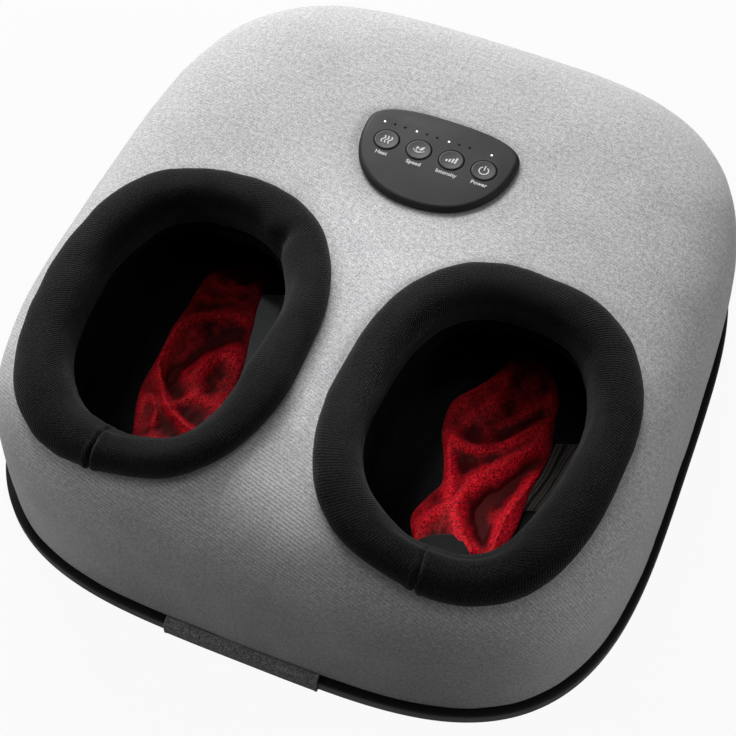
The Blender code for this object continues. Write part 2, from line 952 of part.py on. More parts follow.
def make_lining(side_name, floor):
    """Creased sole cloth that lies on a pocket's floor."""
    side = SIDES[side_name]
    top = []
    for row in range(lining_rows + 1):
        share = row / lining_rows
        along = lining_heel + (lining_toe - lining_heel) * share
        half = lining_half_width * (1 - lining_end_share * abs(2 * share - 1) ** 4)
        line = []
        for column in range(lining_columns + 1):
            spread = 2 * column / lining_columns - 1
            x, y = pocket_plan(side, half * spread, along)
            hit = floor.ray_cast(Vector((x, y, sole_height + probe_length)), Vector((0.0, 0.0, -1.0)))
            crease = math.sin(crease_turns * (share + crease_skew * spread)) ** 2
            line.append(hit[0] + Vector((0.0, 0.0, lining_gap + crease_height * crease)))
        top.append(line)
    rings = []
    for line in top:
        low = list(reversed(line))
        rings.append([point + Vector((0.0, 0.0, lining_thickness)) for point in line] + low)
    link_part(f"sole_lining_{side_name}", loft(f"sole_lining_{side_name}", rings), "satin")


def make_heater(side_name):
    """Flat heating film under a pocket's sole."""
    side = SIDES[side_name]
    half = heater_width / 2
    corners = [(half, heater_heel, heater_round), (half, heater_toe, heater_round),
               (-half, heater_toe, heater_round), (-half, heater_heel, heater_round)]
    outline = [pocket_plan(side, x, y - mouth_back) for x, y in rounded_outline(corners, corner_steps)]
    mesh = prism(f"heating_pad_{side_name}", outline, heater_height, heater_height + heater_thickness)
    part = link_part(mesh.name, mesh, "heater")
    for index in range(heater_slots):
        x, y = pocket_plan(side, 0.0, heater_heel - mouth_back + heater_slot_pitch * (index + 1))
        slot = box("heater_slot",
                   (heater_width * heater_slot_share, heater_slot, heater_thickness + 2 * cut_overrun),
                   (x, y, heater_height + heater_thickness / 2))
        combine(part, link_cutter(slot))


# Control panel

def panel_outline():
    """Bowed outline: a deep rounded half in front of its widest line and a fuller one behind it."""
    outline = []
    for step in range(panel_steps):
        angle = math.tau * step / panel_steps
        front = math.sin(angle) < 0
        depth = panel_widest - panel_front if front else panel_rear - panel_widest
        power = panel_front_power if front else panel_rear_power
        x = panel_half_width * sized(math.cos(angle), 2 / power)
        outline.append((x, panel_widest + depth * sized(math.sin(angle), 2 / power)))
    return outline


def button_places():
    middle = (len(light_counts) - 1) / 2
    return {name: (button_pitch * (index - middle), button_back) for index, name in enumerate(light_counts)}


def light_places():
    places = []
    for name, (x, y) in button_places().items():
        count = light_counts[name]
        for index in range(count):
            places.append((x + (index - (count - 1) / 2) * light_pitch, y + light_back))
    return places


def make_panel():
    place = panel_matrix()
    outline = panel_outline()
    underside = panel_rise - panel_plate
    steps = [
        (-panel_skirt_inset - panel_skirt_wall, underside),
        (-panel_skirt_inset - panel_skirt_wall, panel_rise - panel_skirt),
        (-panel_skirt_inset, panel_rise - panel_skirt),
        (-panel_skirt_inset, seat_gap),
        (0.0, seat_gap),
    ]
    steps += [(-panel_round * inset, panel_rise * height) for inset, height in panel_edge_shares]
    rings = [flat_ring(grown(outline, amount), height) for amount, height in steps]
    panel = link_part("control_panel", loft("control_panel", rings), "panel", place)
    for x, y in button_places().values():
        hole = rod("button_hole", button_radius + clearance, underside - cut_overrun,
                   panel_rise + cut_overrun, round_steps)
        combine(panel, link_cutter(hole, place @ move(x, y, 0.0)))
    for x, y in light_places():
        hole = rod("light_hole", light_radius + clearance, underside - cut_overrun,
                   panel_rise + cut_overrun, light_steps)
        combine(panel, link_cutter(hole, place @ move(x, y, 0.0)))
    for x, y in board_post_places():
        post = rod("board_post", board_post_radius, board_top + clearance, underside + embed, small_steps)
        combine(panel, link_cutter(post, place @ move(x, y, 0.0)), "UNION")
    make_buttons(place, underside)
    make_light_guide(place, underside)
    make_panel_board(place)


def board_post_places():
    """Places of the panel's posts, which stand between its buttons and carry its board."""
    return [(across * button_pitch, button_back + along * board_post_spread)
            for across in (-1, 1) for along in (-1, 1)]


def flat_ring(outline, height):
    return [Vector((x, y, height)) for x, y in outline]


def make_buttons(place, underside):
    flange_top = underside - clearance
    profile = [
        (0.0, panel_rise + button_dish),
        (button_radius * button_rim_share, panel_rise + button_proud),
        (button_radius, panel_rise),
        (button_radius, flange_top),
        (button_flange_radius, flange_top),
        (button_flange_radius, flange_top - button_flange),
        (stem_radius, flange_top - button_flange),
        (stem_radius, stem_bottom),
        (0.0, stem_bottom),
    ]
    for name, (x, y) in button_places().items():
        mesh = turned(f"button_{name}", profile)
        spin(link_part(mesh.name, mesh, "button", place @ move(x, y, 0.0)), round_steps)


def make_light_guide(place, underside):
    first = light_places()[0]
    last = light_places()[-1]
    runner_top = underside - clearance
    size = (last[0] - first[0] + 2 * runner_overhang, runner_width, runner_depth)
    centre = ((first[0] + last[0]) / 2, first[1], runner_top - runner_depth / 2)
    guide = link_part("led_light_guide", box("led_light_guide", size, centre), "light", place)
    for x, y in light_places():
        post = rod("light_post", light_radius, runner_top - runner_depth / 2, panel_rise, light_steps)
        combine(guide, link_cutter(post, place @ move(x, y, 0.0)), "UNION")


def make_panel_board(place):
    size = (board_width, board_depth, board_thickness)
    centre = (0.0, button_back, board_top - board_thickness / 2)
    board = link_part("panel_board", box("panel_board", size, centre), "board", place)
    for x, y in button_places().values():
        body = box("switch", (switch_size, switch_size, switch_height),
                   (x, y, board_top + switch_height / 2 - embed))
        combine(board, link_cutter(body, place), "UNION")
    plug = box("panel_plug", (plug_width, plug_depth, plug_height),
               (0.0, button_back - board_depth / 2 + plug_depth,
                board_top - board_thickness - plug_height / 2 + embed))
    combine(board, link_cutter(plug, place), "UNION")


# Gear train

def disc_places():
    places = []
    for side_name, side in SIDES.items():
        for row_name, row in (("front", -1), ("rear", 1)):
            places.append((side_name, row_name, side * disc_side, train_back + row * gear_distance))
    return places


def involute(angle):
    return math.tan(angle) - angle


def tooth_half_angle(radius):
    """Half the angle that a wheel tooth covers at a radius."""
    base = wheel_pitch_radius * math.cos(pressure_angle)
    here = math.acos(min(1.0, base / radius))
    thinning = backlash / 2 / wheel_pitch_radius
    return math.pi / (2 * wheel_teeth) - thinning + involute(pressure_angle) - involute(here)


def wheel_outline(start):
    root = wheel_pitch_radius - root_share * gear_module
    crest = wheel_pitch_radius + crest_share * gear_module
    outline = []
    for tooth in range(wheel_teeth):
        middle = start + math.tau * tooth / wheel_teeth
        for radius, sign in ((root, -1), (crest, -1), (crest, 1), (root, 1)):
            angle = middle + sign * tooth_half_angle(radius)
            outline.append((radius * math.cos(angle), radius * math.sin(angle)))
    return outline


def make_wheel(side_name, row_name, x, y):
    """Worm wheel with slanted teeth, a web, and a hub that carries its disc."""
    side = SIDES[side_name]
    start = math.pi / wheel_teeth if row_name == "rear" else 0.0
    lean = wheel_face * math.tan(math.atan(gear_module / 2 / worm_pitch_radius)) / wheel_pitch_radius
    rings = []
    for share in (-0.5, 0.5):
        outline = wheel_outline(start + side * lean * share)
        rings.append(flat_ring(outline, shaft_height + wheel_face * share))
    name = f"worm_wheel_{row_name}_{side_name}"
    wheel = link_part(name, loft(name, rings), "gear", move(x, y, 0.0))
    profile = [(hub_radius, hub_top), (hub_radius, hub_low),
               (axle_radius + clearance, hub_low), (axle_radius + clearance, hub_top)]
    bore = rod("wheel_bore", axle_radius + 2 * clearance, wheel_low - cut_overrun,
               wheel_low + wheel_face + cut_overrun, small_steps)
    combine(wheel, link_cutter(bore, move(x, y, 0.0)))
    hub = link_cutter(turned("hub", profile, True), move(x, y, 0.0))
    combine(wheel, spin(hub, small_steps), "UNION")


def make_disc(side_name, row_name, x, y):
    """Three-lobed kneading disc, with a bore for the axle."""
    outline = []
    for step in range(disc_steps):
        angle = math.tau * step / disc_steps
        radius = disc_radius * (1 - disc_lobe_share * (1 - math.cos(dome_count * angle)) / 2)
        outline.append((radius * math.cos(angle), radius * math.sin(angle)))
    name = f"kneading_disc_{row_name}_{side_name}"
    disc = link_part(name, prism(name, outline, disc_height, disc_top), "disc", move(x, y, 0.0))
    bore = rod("disc_bore", axle_radius + clearance, disc_height - cut_overrun, disc_top + cut_overrun,
               small_steps)
    combine(disc, link_cutter(bore, move(x, y, 0.0)))


def make_cap(side_name, row_name, x, y):
    """Soft cap over a disc: three kneading domes joined by a ring."""
    bottom = disc_top + clearance
    ring_top = bottom + cap_ring_thickness
    outer = dome_place + cap_ring_half
    inner = dome_place - cap_ring_half
    ring_profile = [(outer, ring_top), (outer, bottom), (inner, bottom), (inner, ring_top)]
    name = f"kneading_cap_{row_name}_{side_name}"
    cap = link_part(name, turned(name, ring_profile, True), "silicone", move(x, y, 0.0))
    spin(cap, round_steps)
    dome_height = cap_top - bottom
    profile = [(0.0, cap_top)]
    for step in range(1, dome_levels + 1):
        angle = math.pi / 2 * step / dome_levels
        profile.append((dome_radius * math.sin(angle), bottom + dome_height * math.cos(angle)))
    profile.append((0.0, bottom))
    for index in range(dome_count):
        angle = math.tau * index / dome_count
        place = move(x + dome_place * math.cos(angle), y + dome_place * math.sin(angle), 0.0)
        dome = link_cutter(turned("dome", profile), place)
        combine(cap, spin(dome, dome_steps), "UNION")


def make_axle(side_name, row_name, x, y):
    mesh = rod(f"disc_axle_{row_name}_{side_name}", axle_radius, seat_low + clearance, disc_top, small_steps)
    link_part(mesh.name, mesh, "steel", move(x, y, 0.0))


def along_x(x):
    """Frame at the shaft with its Z along the world's +X."""
    return move(x, train_back, shaft_height) @ turn(math.pi / 2, "Y")


def make_worm(side_name):
    """Worm with one raised thread, right-handed on the right and left-handed on the left."""
    side = SIDES[side_name]
    root = worm_pitch_radius - root_share * gear_module
    crest = worm_pitch_radius + crest_share * gear_module
    place = along_x(side * disc_side)
    half = worm_length / 2
    bore = shaft_radius + clearance
    profile = [(root, half), (root, -half), (bore, -half), (bore, half)]
    worm = link_part(f"worm_{side_name}", turned(f"worm_{side_name}", profile, True), "steel", place)
    spin(worm, worm_steps)
    thread = link_cutter(thread_mesh(side, root - thread_sink, crest), place)
    combine(worm, thread, "UNION")


def thread_mesh(side, low, high):
    """Closed thread: a Screw sweeps the tooth's section, and its two ends are then filled."""
    def half_thickness(radius):
        return thread_pitch / 4 - backlash / 2 + (worm_pitch_radius - radius) * math.tan(pressure_angle)
    section = [(low, half_thickness(low)), (high, half_thickness(high)),
               (high, -half_thickness(high)), (low, -half_thickness(low))]
    start = -side * thread_turns * thread_pitch / 2
    sweep = bpy.data.objects.new("sweep", turned("sweep", section, True))
    cutters.objects.link(sweep)
    modifier = spin(sweep, worm_steps).modifiers["turn"]
    modifier.iterations = thread_turns
    modifier.screw_offset = side * thread_pitch
    modifier.use_merge_vertices = False
    mesh = bpy.data.meshes.new_from_object(sweep.evaluated_get(bpy.context.evaluated_depsgraph_get()))
    mesh.name = "thread"
    bpy.data.objects.remove(sweep)
    mesh.transform(turn(thread_phase, "Z") @ move(0.0, 0.0, start))
    work = bmesh.new()
    work.from_mesh(mesh)
    bmesh.ops.remove_doubles(work, verts=work.verts, dist=merge_distance)
    edges = [edge for edge in work.edges if edge.is_boundary]
    bmesh.ops.holes_fill(work, edges=edges, sides=len(section))
    bmesh.ops.recalc_face_normals(work, faces=work.faces)
    work.to_mesh(mesh)
    work.free()
    return mesh


def make_motor():
    """Double-shaft motor, its shaft, its saddle bracket and the two outer bearings."""
    half = motor_length / 2
    bore = shaft_radius + clearance
    profile = [
        (motor_radius - motor_chamfer, half),
        (motor_radius, half - motor_chamfer),
        (motor_radius, motor_chamfer - half),
        (motor_radius - motor_chamfer, -half),
        (motor_boss_radius, -half),
        (motor_boss_radius, -half - motor_boss),
        (bore, -half - motor_boss),
        (bore, half + motor_boss),
        (motor_boss_radius, half + motor_boss),
        (motor_boss_radius, half),
    ]
    spin(link_part("motor_can", turned("motor_can", profile, True), "steel", along_x(0.0)), round_steps)
    shaft = rod("motor_shaft", shaft_radius, -shaft_length / 2, shaft_length / 2, small_steps)
    link_part("motor_shaft", shaft, "steel", along_x(0.0))
    saddle_top = shaft_height - saddle_drop
    low = seat_low + rib_height
    mesh = box("motor_bracket", (saddle_length, saddle_width, saddle_top - low),
               (0.0, train_back, (saddle_top + low) / 2))
    saddle = link_part("motor_bracket", mesh, "frame")
    bevel(saddle, saddle_chamfer)
    hollow = rod("saddle_hollow", motor_radius + clearance, -saddle_length, saddle_length, round_steps)
    combine(saddle, link_cutter(hollow, along_x(0.0)))
    for side_name, side in SIDES.items():
        x = side * bearing_side
        low = seat_low
        outline = [(-bearing_foot, low), (bearing_foot, low), (bearing_foot, low + bearing_flange),
                   (bearing_radius, low + 2 * bearing_flange)]
        for step in range(bearing_arc_steps + 1):
            angle = math.pi * step / bearing_arc_steps
            outline.append((bearing_radius * math.cos(angle),
                            shaft_height + bearing_radius * math.sin(angle)))
        outline += [(-bearing_radius, low + 2 * bearing_flange), (-bearing_foot, low + bearing_flange)]
        upright = move(x, train_back, 0.0) @ turn(math.pi / 2, "Z") @ turn(math.pi / 2, "X")
        mesh = prism(f"shaft_bearing_{side_name}", outline, -bearing_length / 2, bearing_length / 2)
        mesh.transform(upright)
        bearing = link_part(mesh.name, mesh, "frame")
        hole = rod("bearing_bore", bore, -bearing_length, bearing_length, small_steps)
        combine(bearing, link_cutter(hole, along_x(x)))


def make_mid_frame():
    """Plate over the gears, with a raised lip, hub holes and a window for the motor."""
    def plate_ring(inset, height):
        return base_ring(rim_overhang + inset, height)[::2]

    rings = [
        plate_ring(frame_inset + frame_lip_wall, frame_top),
        plate_ring(frame_inset + frame_lip_wall, frame_top + frame_lip),
        plate_ring(frame_inset, frame_top + frame_lip),
        plate_ring(frame_inset, frame_height),
    ]
    plate = link_part("mid_frame", loft("mid_frame", rings), "frame")
    for _, _, x, y in disc_places():
        hole = rod("hub_hole", hub_radius + hub_hole_gap, frame_height - cut_overrun,
                   frame_top + cut_overrun, small_steps)
        combine(plate, link_cutter(hole, move(x, y, 0.0)))
    worm_crest = worm_pitch_radius + crest_share * gear_module
    windows = [(0.0, motor_length / 2, motor_radius)]
    windows += [(side * disc_side, worm_length / 2, worm_crest) for side in SIDES.values()]
    for x, half_x, half_y in windows:
        size = (2 * (half_x + window_gap), 2 * (half_y + window_gap), frame_thickness + 2 * cut_overrun)
        window = box("window", size, (x, train_back, (frame_height + frame_top) / 2))
        combine(plate, link_cutter(window))
    for side in SIDES.values():
        for x, y in ((riser_side, valve_back), (side_bag_side, side_hose_back)):
            hole = rod("hose_hole", hose_radius + hose_hole_gap, frame_height - cut_overrun,
                       frame_top + cut_overrun, small_steps)
            combine(plate, link_cutter(hole, move(side * x, y, 0.0)))


# Air and power

def pillow(name, half_x, half_y):
    """Airbag: a crowned pillow with thin edges and one welded channel across its middle."""
    levels = [(-1, reach) for reach in bag_ring_shares]
    levels += [(1, reach) for reach in reversed(bag_ring_shares[:-1])]
    rings = []
    for face, reach in levels:
        height = face * bag_half_thickness * (1 - reach ** bag_fullness)
        ring = []
        for step in range(bag_steps):
            angle = math.tau * step / bag_steps
            x = half_x * reach * sized(math.cos(angle), 2 / bag_power)
            y = half_y * reach * sized(math.sin(angle), 2 / bag_power)
            pinch = 1 - channel_share * math.exp(-(y / channel_width) ** 2)
            ring.append(Vector((x, y, height * pinch)))
        rings.append(ring)
    return loft(name, rings)


def make_airbags():
    for side_name, side in SIDES.items():
        name = f"instep_airbag_{side_name}"
        x, y = pocket_plan(side, 0.0, instep_back - mouth_back)
        mesh = pillow(name, instep_half_x, instep_half_y)
        link_part(name, mesh, "airbag", move(x, y, instep_height) @ turn(instep_tilt, "X"))
        name = f"side_airbag_{side_name}"
        mesh = pillow(name, side_bag_half_z, side_bag_half_y)
        link_part(name, mesh, "airbag", move(side * side_bag_side, side_bag_back, side_bag_height)
                  @ turn(side * side_bag_lean, "Y") @ turn(math.pi / 2, "Y"))


def tube(name, points, material):
    """Hose along hand-chosen points."""
    curve = bpy.data.curves.new(name, "CURVE")
    curve.dimensions = "3D"
    curve.bevel_depth = hose_radius
    curve.bevel_resolution = 1
    curve.resolution_u = hose_resolution
    curve.use_fill_caps = True
    spline = curve.splines.new("BEZIER")
    spline.bezier_points.add(len(points) - 1)
    for place, point in zip(points, spline.bezier_points):
        point.co = place
        point.handle_left_type = "AUTO"
        point.handle_right_type = "AUTO"
    carrier = bpy.data.objects.new(name, curve)
    cutters.objects.link(carrier)
    mesh = bpy.data.meshes.new_from_object(carrier.evaluated_get(bpy.context.evaluated_depsgraph_get()))
    bpy.data.objects.remove(carrier)
    work = bmesh.new()
    work.from_mesh(mesh)
    bmesh.ops.remove_doubles(work, verts=work.verts, dist=merge_distance)
    bmesh.ops.recalc_face_normals(work, faces=work.faces)
    work.to_mesh(mesh)
    work.free()
    mesh.materials.clear()
    mesh.name = name
    return link_part(name, mesh, material)


def make_pump():
    """Air pump: a finned block with its round motor on one end."""
    mesh = box("air_pump", (pump_length, pump_width, pump_height),
               (-pump_side, pump_back, seat_low + pump_height / 2))
    pump = link_part("air_pump", mesh, "hard_black")
    bevel(pump, pump_chamfer)
    can = rod("pump_can", pump_can_radius, 0.0, pump_can_length, round_steps)
    place = move(embed - pump_side - pump_length / 2, pump_back, seat_low + pump_can_lift)
    combine(pump, link_cutter(can, place @ turn(-math.pi / 2, "Y")), "UNION")
    for index in range(pump_fins):
        x = -pump_side + (index - (pump_fins - 1) / 2) * pump_fin_pitch
        groove = box("pump_groove",
                     (pump_fin_gap, pump_width + 2 * cut_overrun, pump_fin_depth + cut_overrun),
                     (x, pump_back, seat_low + pump_height + (cut_overrun - pump_fin_depth) / 2))
        combine(pump, link_cutter(groove))


def make_valve_block():
    """Valve block with a port for each hose."""
    top = seat_low + valve_height
    mesh = box("valve_block", (valve_length, valve_width, valve_height),
               (0.0, valve_back, top - valve_height / 2))
    block = link_part("valve_block", mesh, "frame")
    bevel(block, valve_chamfer)
    for side in SIDES.values():
        for x in (riser_side, side_port):
            port = rod("port", hose_radius, top - embed, top + port_height, small_steps)
            combine(block, link_cutter(port, move(side * x, valve_back, 0.0)), "UNION")
    return top + port_height + seat_gap


def make_hoses(start):
    """Hoses from the valve block's ports up to the airbags, through the mid frame."""
    low = start + hose_climb
    half_bend = hose_bend / 2
    for side_name, side in SIDES.items():
        end_x, end_y = pocket_plan(side, -instep_half_x - bag_end_gap, instep_back - mouth_back)
        tube(f"instep_hose_{side_name}", [
            (side * riser_side, valve_back, start),
            (side * riser_side, valve_back, frame_height),
            (side * riser_side, valve_back, instep_height - 2 * hose_bend),
            (side * (riser_side + half_bend), (valve_back + end_y) / 2, instep_height),
            (end_x, end_y, instep_height),
        ], "hose")
        tube(f"side_hose_{side_name}", [
            (side * side_port, valve_back, start),
            (side * side_port, valve_back, start + hose_radius),
            (side * (side_port + hose_bend), valve_back + half_bend, low),
            (side * (side_bag_side - 2 * hose_bend), side_hose_back, low),
            (side * side_bag_side, side_hose_back, low + half_bend),
            (side * side_bag_side, side_hose_back, frame_height + hose_bend),
            (side * side_bag_side, side_hose_back, side_bag_height - hose_bend),
            (side * side_bag_side, side_hose_back - hose_bend, side_bag_height),
            (side * side_bag_side, side_bag_back + side_bag_half_y + bag_end_gap, side_bag_height),
        ], "hose")


def make_power():
    """Round socket for the adapter's plug."""
    profile = [
        (0.0, -inlet_length), (inlet_radius, -inlet_length), (inlet_radius, inlet_proud),
        (inlet_socket, inlet_proud), (inlet_socket, -inlet_depth), (inlet_pin, -inlet_depth),
        (inlet_pin, -inlet_pin_end), (0.0, -inlet_pin_end),
    ]
    inlet = link_part("power_inlet", turned("power_inlet", list(reversed(profile))), "inlet", inlet_matrix())
    spin(inlet, small_steps)


def make_main_board():
    """Circuit board on its standoffs, with its larger components."""
    top = base_floor + main_board_lift + board_thickness
    mesh = box("main_board", (main_board_width, main_board_depth, board_thickness),
               (main_board_side, main_board_back, top - board_thickness / 2))
    board = link_part("main_board", mesh, "board")
    for across, along, width, depth, height in component_shares:
        rise = component_height * height
        block = box("component", (main_board_width * width, main_board_depth * depth, rise + embed),
                    (main_board_side + main_board_width * across, main_board_back + main_board_depth * along,
                     top + (rise - embed) / 2))
        combine(board, link_cutter(block), "UNION")


make_hood()
make_base()
make_feet()
make_pull_tab()
for each_side in SIDES:
    make_collar(each_side)
    make_lining(each_side, make_pocket(each_side))
    make_heater(each_side)
    make_worm(each_side)
make_panel()
for each_place in disc_places():
    make_wheel(*each_place)
    make_disc(*each_place)
    make_cap(*each_place)
    make_axle(*each_place)
make_motor()
make_mid_frame()
make_airbags()
make_pump()
make_hoses(make_valve_block())
make_power()
make_main_board()
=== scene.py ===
"""Looks of the foot massager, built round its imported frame. Units are metres, in the frame's axes."""
import json
import math

import bmesh
import bpy
import numpy as np
from mathutils import Matrix, Vector
from mathutils.bvhtree import BVHTree


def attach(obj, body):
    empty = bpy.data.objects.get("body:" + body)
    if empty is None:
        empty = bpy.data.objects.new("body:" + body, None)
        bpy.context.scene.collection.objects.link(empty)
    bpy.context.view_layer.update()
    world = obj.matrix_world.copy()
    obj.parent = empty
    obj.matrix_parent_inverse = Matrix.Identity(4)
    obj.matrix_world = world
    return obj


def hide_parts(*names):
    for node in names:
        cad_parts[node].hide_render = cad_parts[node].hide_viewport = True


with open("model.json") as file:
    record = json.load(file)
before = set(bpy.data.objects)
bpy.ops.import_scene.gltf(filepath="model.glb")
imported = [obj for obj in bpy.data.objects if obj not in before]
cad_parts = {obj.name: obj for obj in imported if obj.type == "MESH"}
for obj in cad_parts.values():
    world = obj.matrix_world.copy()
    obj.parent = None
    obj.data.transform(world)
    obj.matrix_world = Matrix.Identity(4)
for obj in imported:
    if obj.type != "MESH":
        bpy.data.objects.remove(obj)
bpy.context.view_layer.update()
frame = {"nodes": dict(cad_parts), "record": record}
nodes = frame["nodes"]
SIDES = {"left": -1, "right": 1}
HOUSING = "housing"

# Hood and base, as in the part's source
half_width = 0.200
half_depth = 0.2155
hood_height = 0.120
corner_power = 3.65
shoulder_power = 5.5
rear_taper_share = 0.03
front_rise_share = 0.035
rim_overhang = 0.0046
foot_height = 0.004
rim_top = 0.0152
hem_height = 0.0156
base_wall = 0.0025
base_floor = 0.0065
rim_round = 0.0026
flange_thickness = 0.0025
flange_width = 0.0115
fabric_thickness = 0.0015

# Mouths and collars
mouth_side = 0.0925
mouth_back = -0.08857
collar_half_width = 0.0815
collar_half_length = 0.1023
collar_width = 0.026
collar_power = 2.5
collar_drop = 0.0165
toe_out = math.radians(3.0)
cover_cut_offset = -0.0046
core_half_width = collar_half_width - collar_width / 2
core_half_length = collar_half_length - collar_width / 2

# Pockets and soles
sole_height = 0.0601
pocket_reach = 0.144
pocket_room = 0.0524
pocket_half_width = 0.058
pocket_wall = 0.0014
pocket_rim_offset = -0.0097
pocket_seat = 0.0011
pocket_station_shares = (
    (-0.073, 1.000, -1.215, 0.685, 1.000, 2.6),
    (-0.069, 0.975, -1.212, 0.342, 0.990, 2.8),
    (-0.063, 0.960, -1.125, 0.074, 0.965, 3.0),
    (-0.052, 0.952, -0.917, 0.010, 0.930, 3.2),
    (-0.038, 0.948, -0.639, 0.000, 0.895, 3.5),
    (-0.021, 0.947, -0.333, 0.000, 0.860, 3.8),
    (0.007, 0.945, -0.021, 0.000, 0.845, 4.0),
    (0.243, 0.942, 0.243, 0.010, 0.845, 4.2),
    (0.521, 0.925, 0.521, 0.046, 0.828, 4.0),
    (0.750, 0.885, 0.750, 0.103, 0.760, 3.6),
    (0.917, 0.810, 0.917, 0.180, 0.603, 3.0),
    (1.000, 0.690, 1.000, 0.295, 0.362, 2.5),
)
lining_heel = -0.066
lining_toe = 0.190
lining_half_width = 0.034

# Control panel
panel_back = 0.06659
panel_rise = 0.0040
panel_plate = 0.0028
panel_half_width = 0.0495
panel_shift = 0.0022
panel_front = -0.0320
panel_rear = 0.0395
panel_widest = 0.0200
panel_front_power = 2.2
panel_rear_power = 2.6
button_pitch = 0.0211
button_back = 0.0085
button_radius = 0.0079
light_pitch = 0.0067
light_back = 0.0135
light_counts = {"heat": 3, "speed": 3, "intensity": 3, "power": 1}


def sized(value, power):
    return np.copysign(np.abs(value) ** power, value)


def plan_taper(y):
    return 1 - rear_taper_share * y / half_depth


def crown_share(y):
    return 1 - front_rise_share * y / half_depth


def plan_share(x, y):
    across = np.abs(x / plan_taper(y) / half_width)
    along = np.abs(y / half_depth)
    return (across ** corner_power + along ** corner_power) ** (1 / corner_power)


def hood_top(x, y):
    rise = np.maximum(0.0, 1 - plan_share(x, y) ** shoulder_power) ** (1 / shoulder_power)
    return hem_height + hood_height * crown_share(y) * rise


def hood_field(points):
    x, y, z = points[..., 0], points[..., 1], points[..., 2]
    rise = np.abs(z - hem_height) / (hood_height * crown_share(y))
    return plan_share(x, y) ** shoulder_power + rise ** shoulder_power


def hood_normal(points):
    slope = np.zeros_like(points)
    for axis in range(3):
        step = np.zeros(3)
        step[axis] = 0.00001
        slope[..., axis] = hood_field(points + step) - hood_field(points - step)
    return slope / np.linalg.norm(slope, axis=-1, keepdims=True)


def over_hood(x, y, lift):
    points = np.stack([x, y, hood_top(x, y)], axis=-1)
    return points + hood_normal(points) * np.asarray(lift)[..., None]


def pocket_plan(side, across, along):
    x = across * math.cos(toe_out) + along * math.sin(toe_out)
    y = along * math.cos(toe_out) - across * math.sin(toe_out)
    return side * (mouth_side + x), mouth_back + y


def foot_frame(side, x, y):
    """The other way: plan point to (across, along) in a foot's own frame."""
    u, v = side * x - mouth_side, y - mouth_back
    return (u * math.cos(toe_out) - v * math.sin(toe_out),
            u * math.sin(toe_out) + v * math.cos(toe_out))


def mouth_point(side, offset, angle):
    across = (core_half_width + offset) * sized(np.cos(angle), 2 / collar_power)
    along = (core_half_length + offset) * sized(np.sin(angle), 2 / collar_power)
    return pocket_plan(side, across, along)


def mouth_offset(side, x, y):
    """How far a plan point lies outside the collar's middle line, in the collar's own offsets."""
    across, along = (np.abs(value) for value in foot_frame(side, x, y))
    offset = np.zeros_like(across)
    for _ in range(8):
        wide, long = core_half_width + offset, core_half_length + offset
        value = (across / wide) ** collar_power + (along / long) ** collar_power - 1
        slope = -collar_power * ((across / wide) ** collar_power / wide + (along / long) ** collar_power / long)
        offset = np.clip(offset - value / np.minimum(slope, -1e-3), -0.055, 0.4)
    return offset


def ripple(points, size, seed, waves=9):
    """Smooth seeded unevenness with features of about a given size."""
    pick = np.random.default_rng(seed)
    total = np.zeros(points.shape[:-1])
    for _ in range(waves):
        heading = pick.normal(size=3)
        heading *= math.tau / size * pick.uniform(0.6, 1.4) / np.linalg.norm(heading)
        total += np.sin(points @ heading + pick.uniform(0, math.tau))
    return total / math.sqrt(waves)


CAMERA_PLACE = Vector((0.2365, -0.5936, 0.9972))


# Mesh helpers

def add_piece(name, points, faces, material, body=HOUSING, uvs=None, smooth=True, period=None):
    mesh = bpy.data.meshes.new(name)
    mesh.from_pydata(np.asarray(points, float).reshape(-1, 3).tolist(), [], faces)
    mesh.update()
    piece = bpy.data.objects.new(name, mesh)
    bpy.context.scene.collection.objects.link(piece)
    if uvs is not None:
        layer = mesh.uv_layers.new(name="weave")
        corners = np.zeros(len(mesh.loops), int)
        mesh.loops.foreach_get("vertex_index", corners)
        places = np.asarray(uvs, float).reshape(-1, 2)[corners]
        if period is not None:
            starts = np.zeros(len(mesh.polygons), int)
            mesh.polygons.foreach_get("loop_start", starts)
            owner = np.searchsorted(starts, np.arange(len(corners)), side="right") - 1
            first = places[starts[owner]]
            places += np.round((first - places) / period) * period
        layer.data.foreach_set("uv", places.astype(np.float32).ravel())
    if smooth:
        mesh.shade_smooth()
    if material is not None:
        mesh.materials.append(material)
    if body:
        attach(piece, body)
    return piece


def add_painted_shade(piece, values):
    """Keeps a share of painted shade at each point, for the piece's material."""
    layer = piece.data.attributes.new("shade", "FLOAT", "POINT")
    layer.data.foreach_set("value", np.asarray(values, np.float32).ravel())


def grid_faces(rows, columns, closed_columns=True, closed_rows=False, flip=False):
    faces = []
    for row in range(rows if closed_rows else rows - 1):
        low, high = row * columns, (row + 1) % rows * columns
        for column in range(columns if closed_columns else columns - 1):
            following = (column + 1) % columns
            face = (low + column, low + following, high + following, high + column)
            faces.append(face[::-1] if flip else face)
    return faces


def outward(piece):
    """Turns a closed piece's faces outwards."""
    work = bmesh.new()
    work.from_mesh(piece.data)
    bmesh.ops.recalc_face_normals(work, faces=work.faces)
    work.to_mesh(piece.data)
    work.free()
    return piece


def settle(piece):
    """Applies a piece's modifiers."""
    graph = bpy.context.evaluated_depsgraph_get()
    old = piece.data
    mesh = bpy.data.meshes.new_from_object(piece.evaluated_get(graph))
    piece.modifiers.clear()
    piece.data = mesh
    mesh.name = piece.name
    bpy.data.meshes.remove(old)
    return piece


def carve(piece, cutters, operation="DIFFERENCE"):
    """Cuts pieces that aren't shown out of a piece."""
    for cutter in cutters:
        modifier = piece.modifiers.new("cut", "BOOLEAN")
        modifier.operation = operation
        modifier.solver = "EXACT"
        modifier.object = cutter
    settle(piece)
    for cutter in cutters:
        bpy.data.objects.remove(cutter)
    return piece


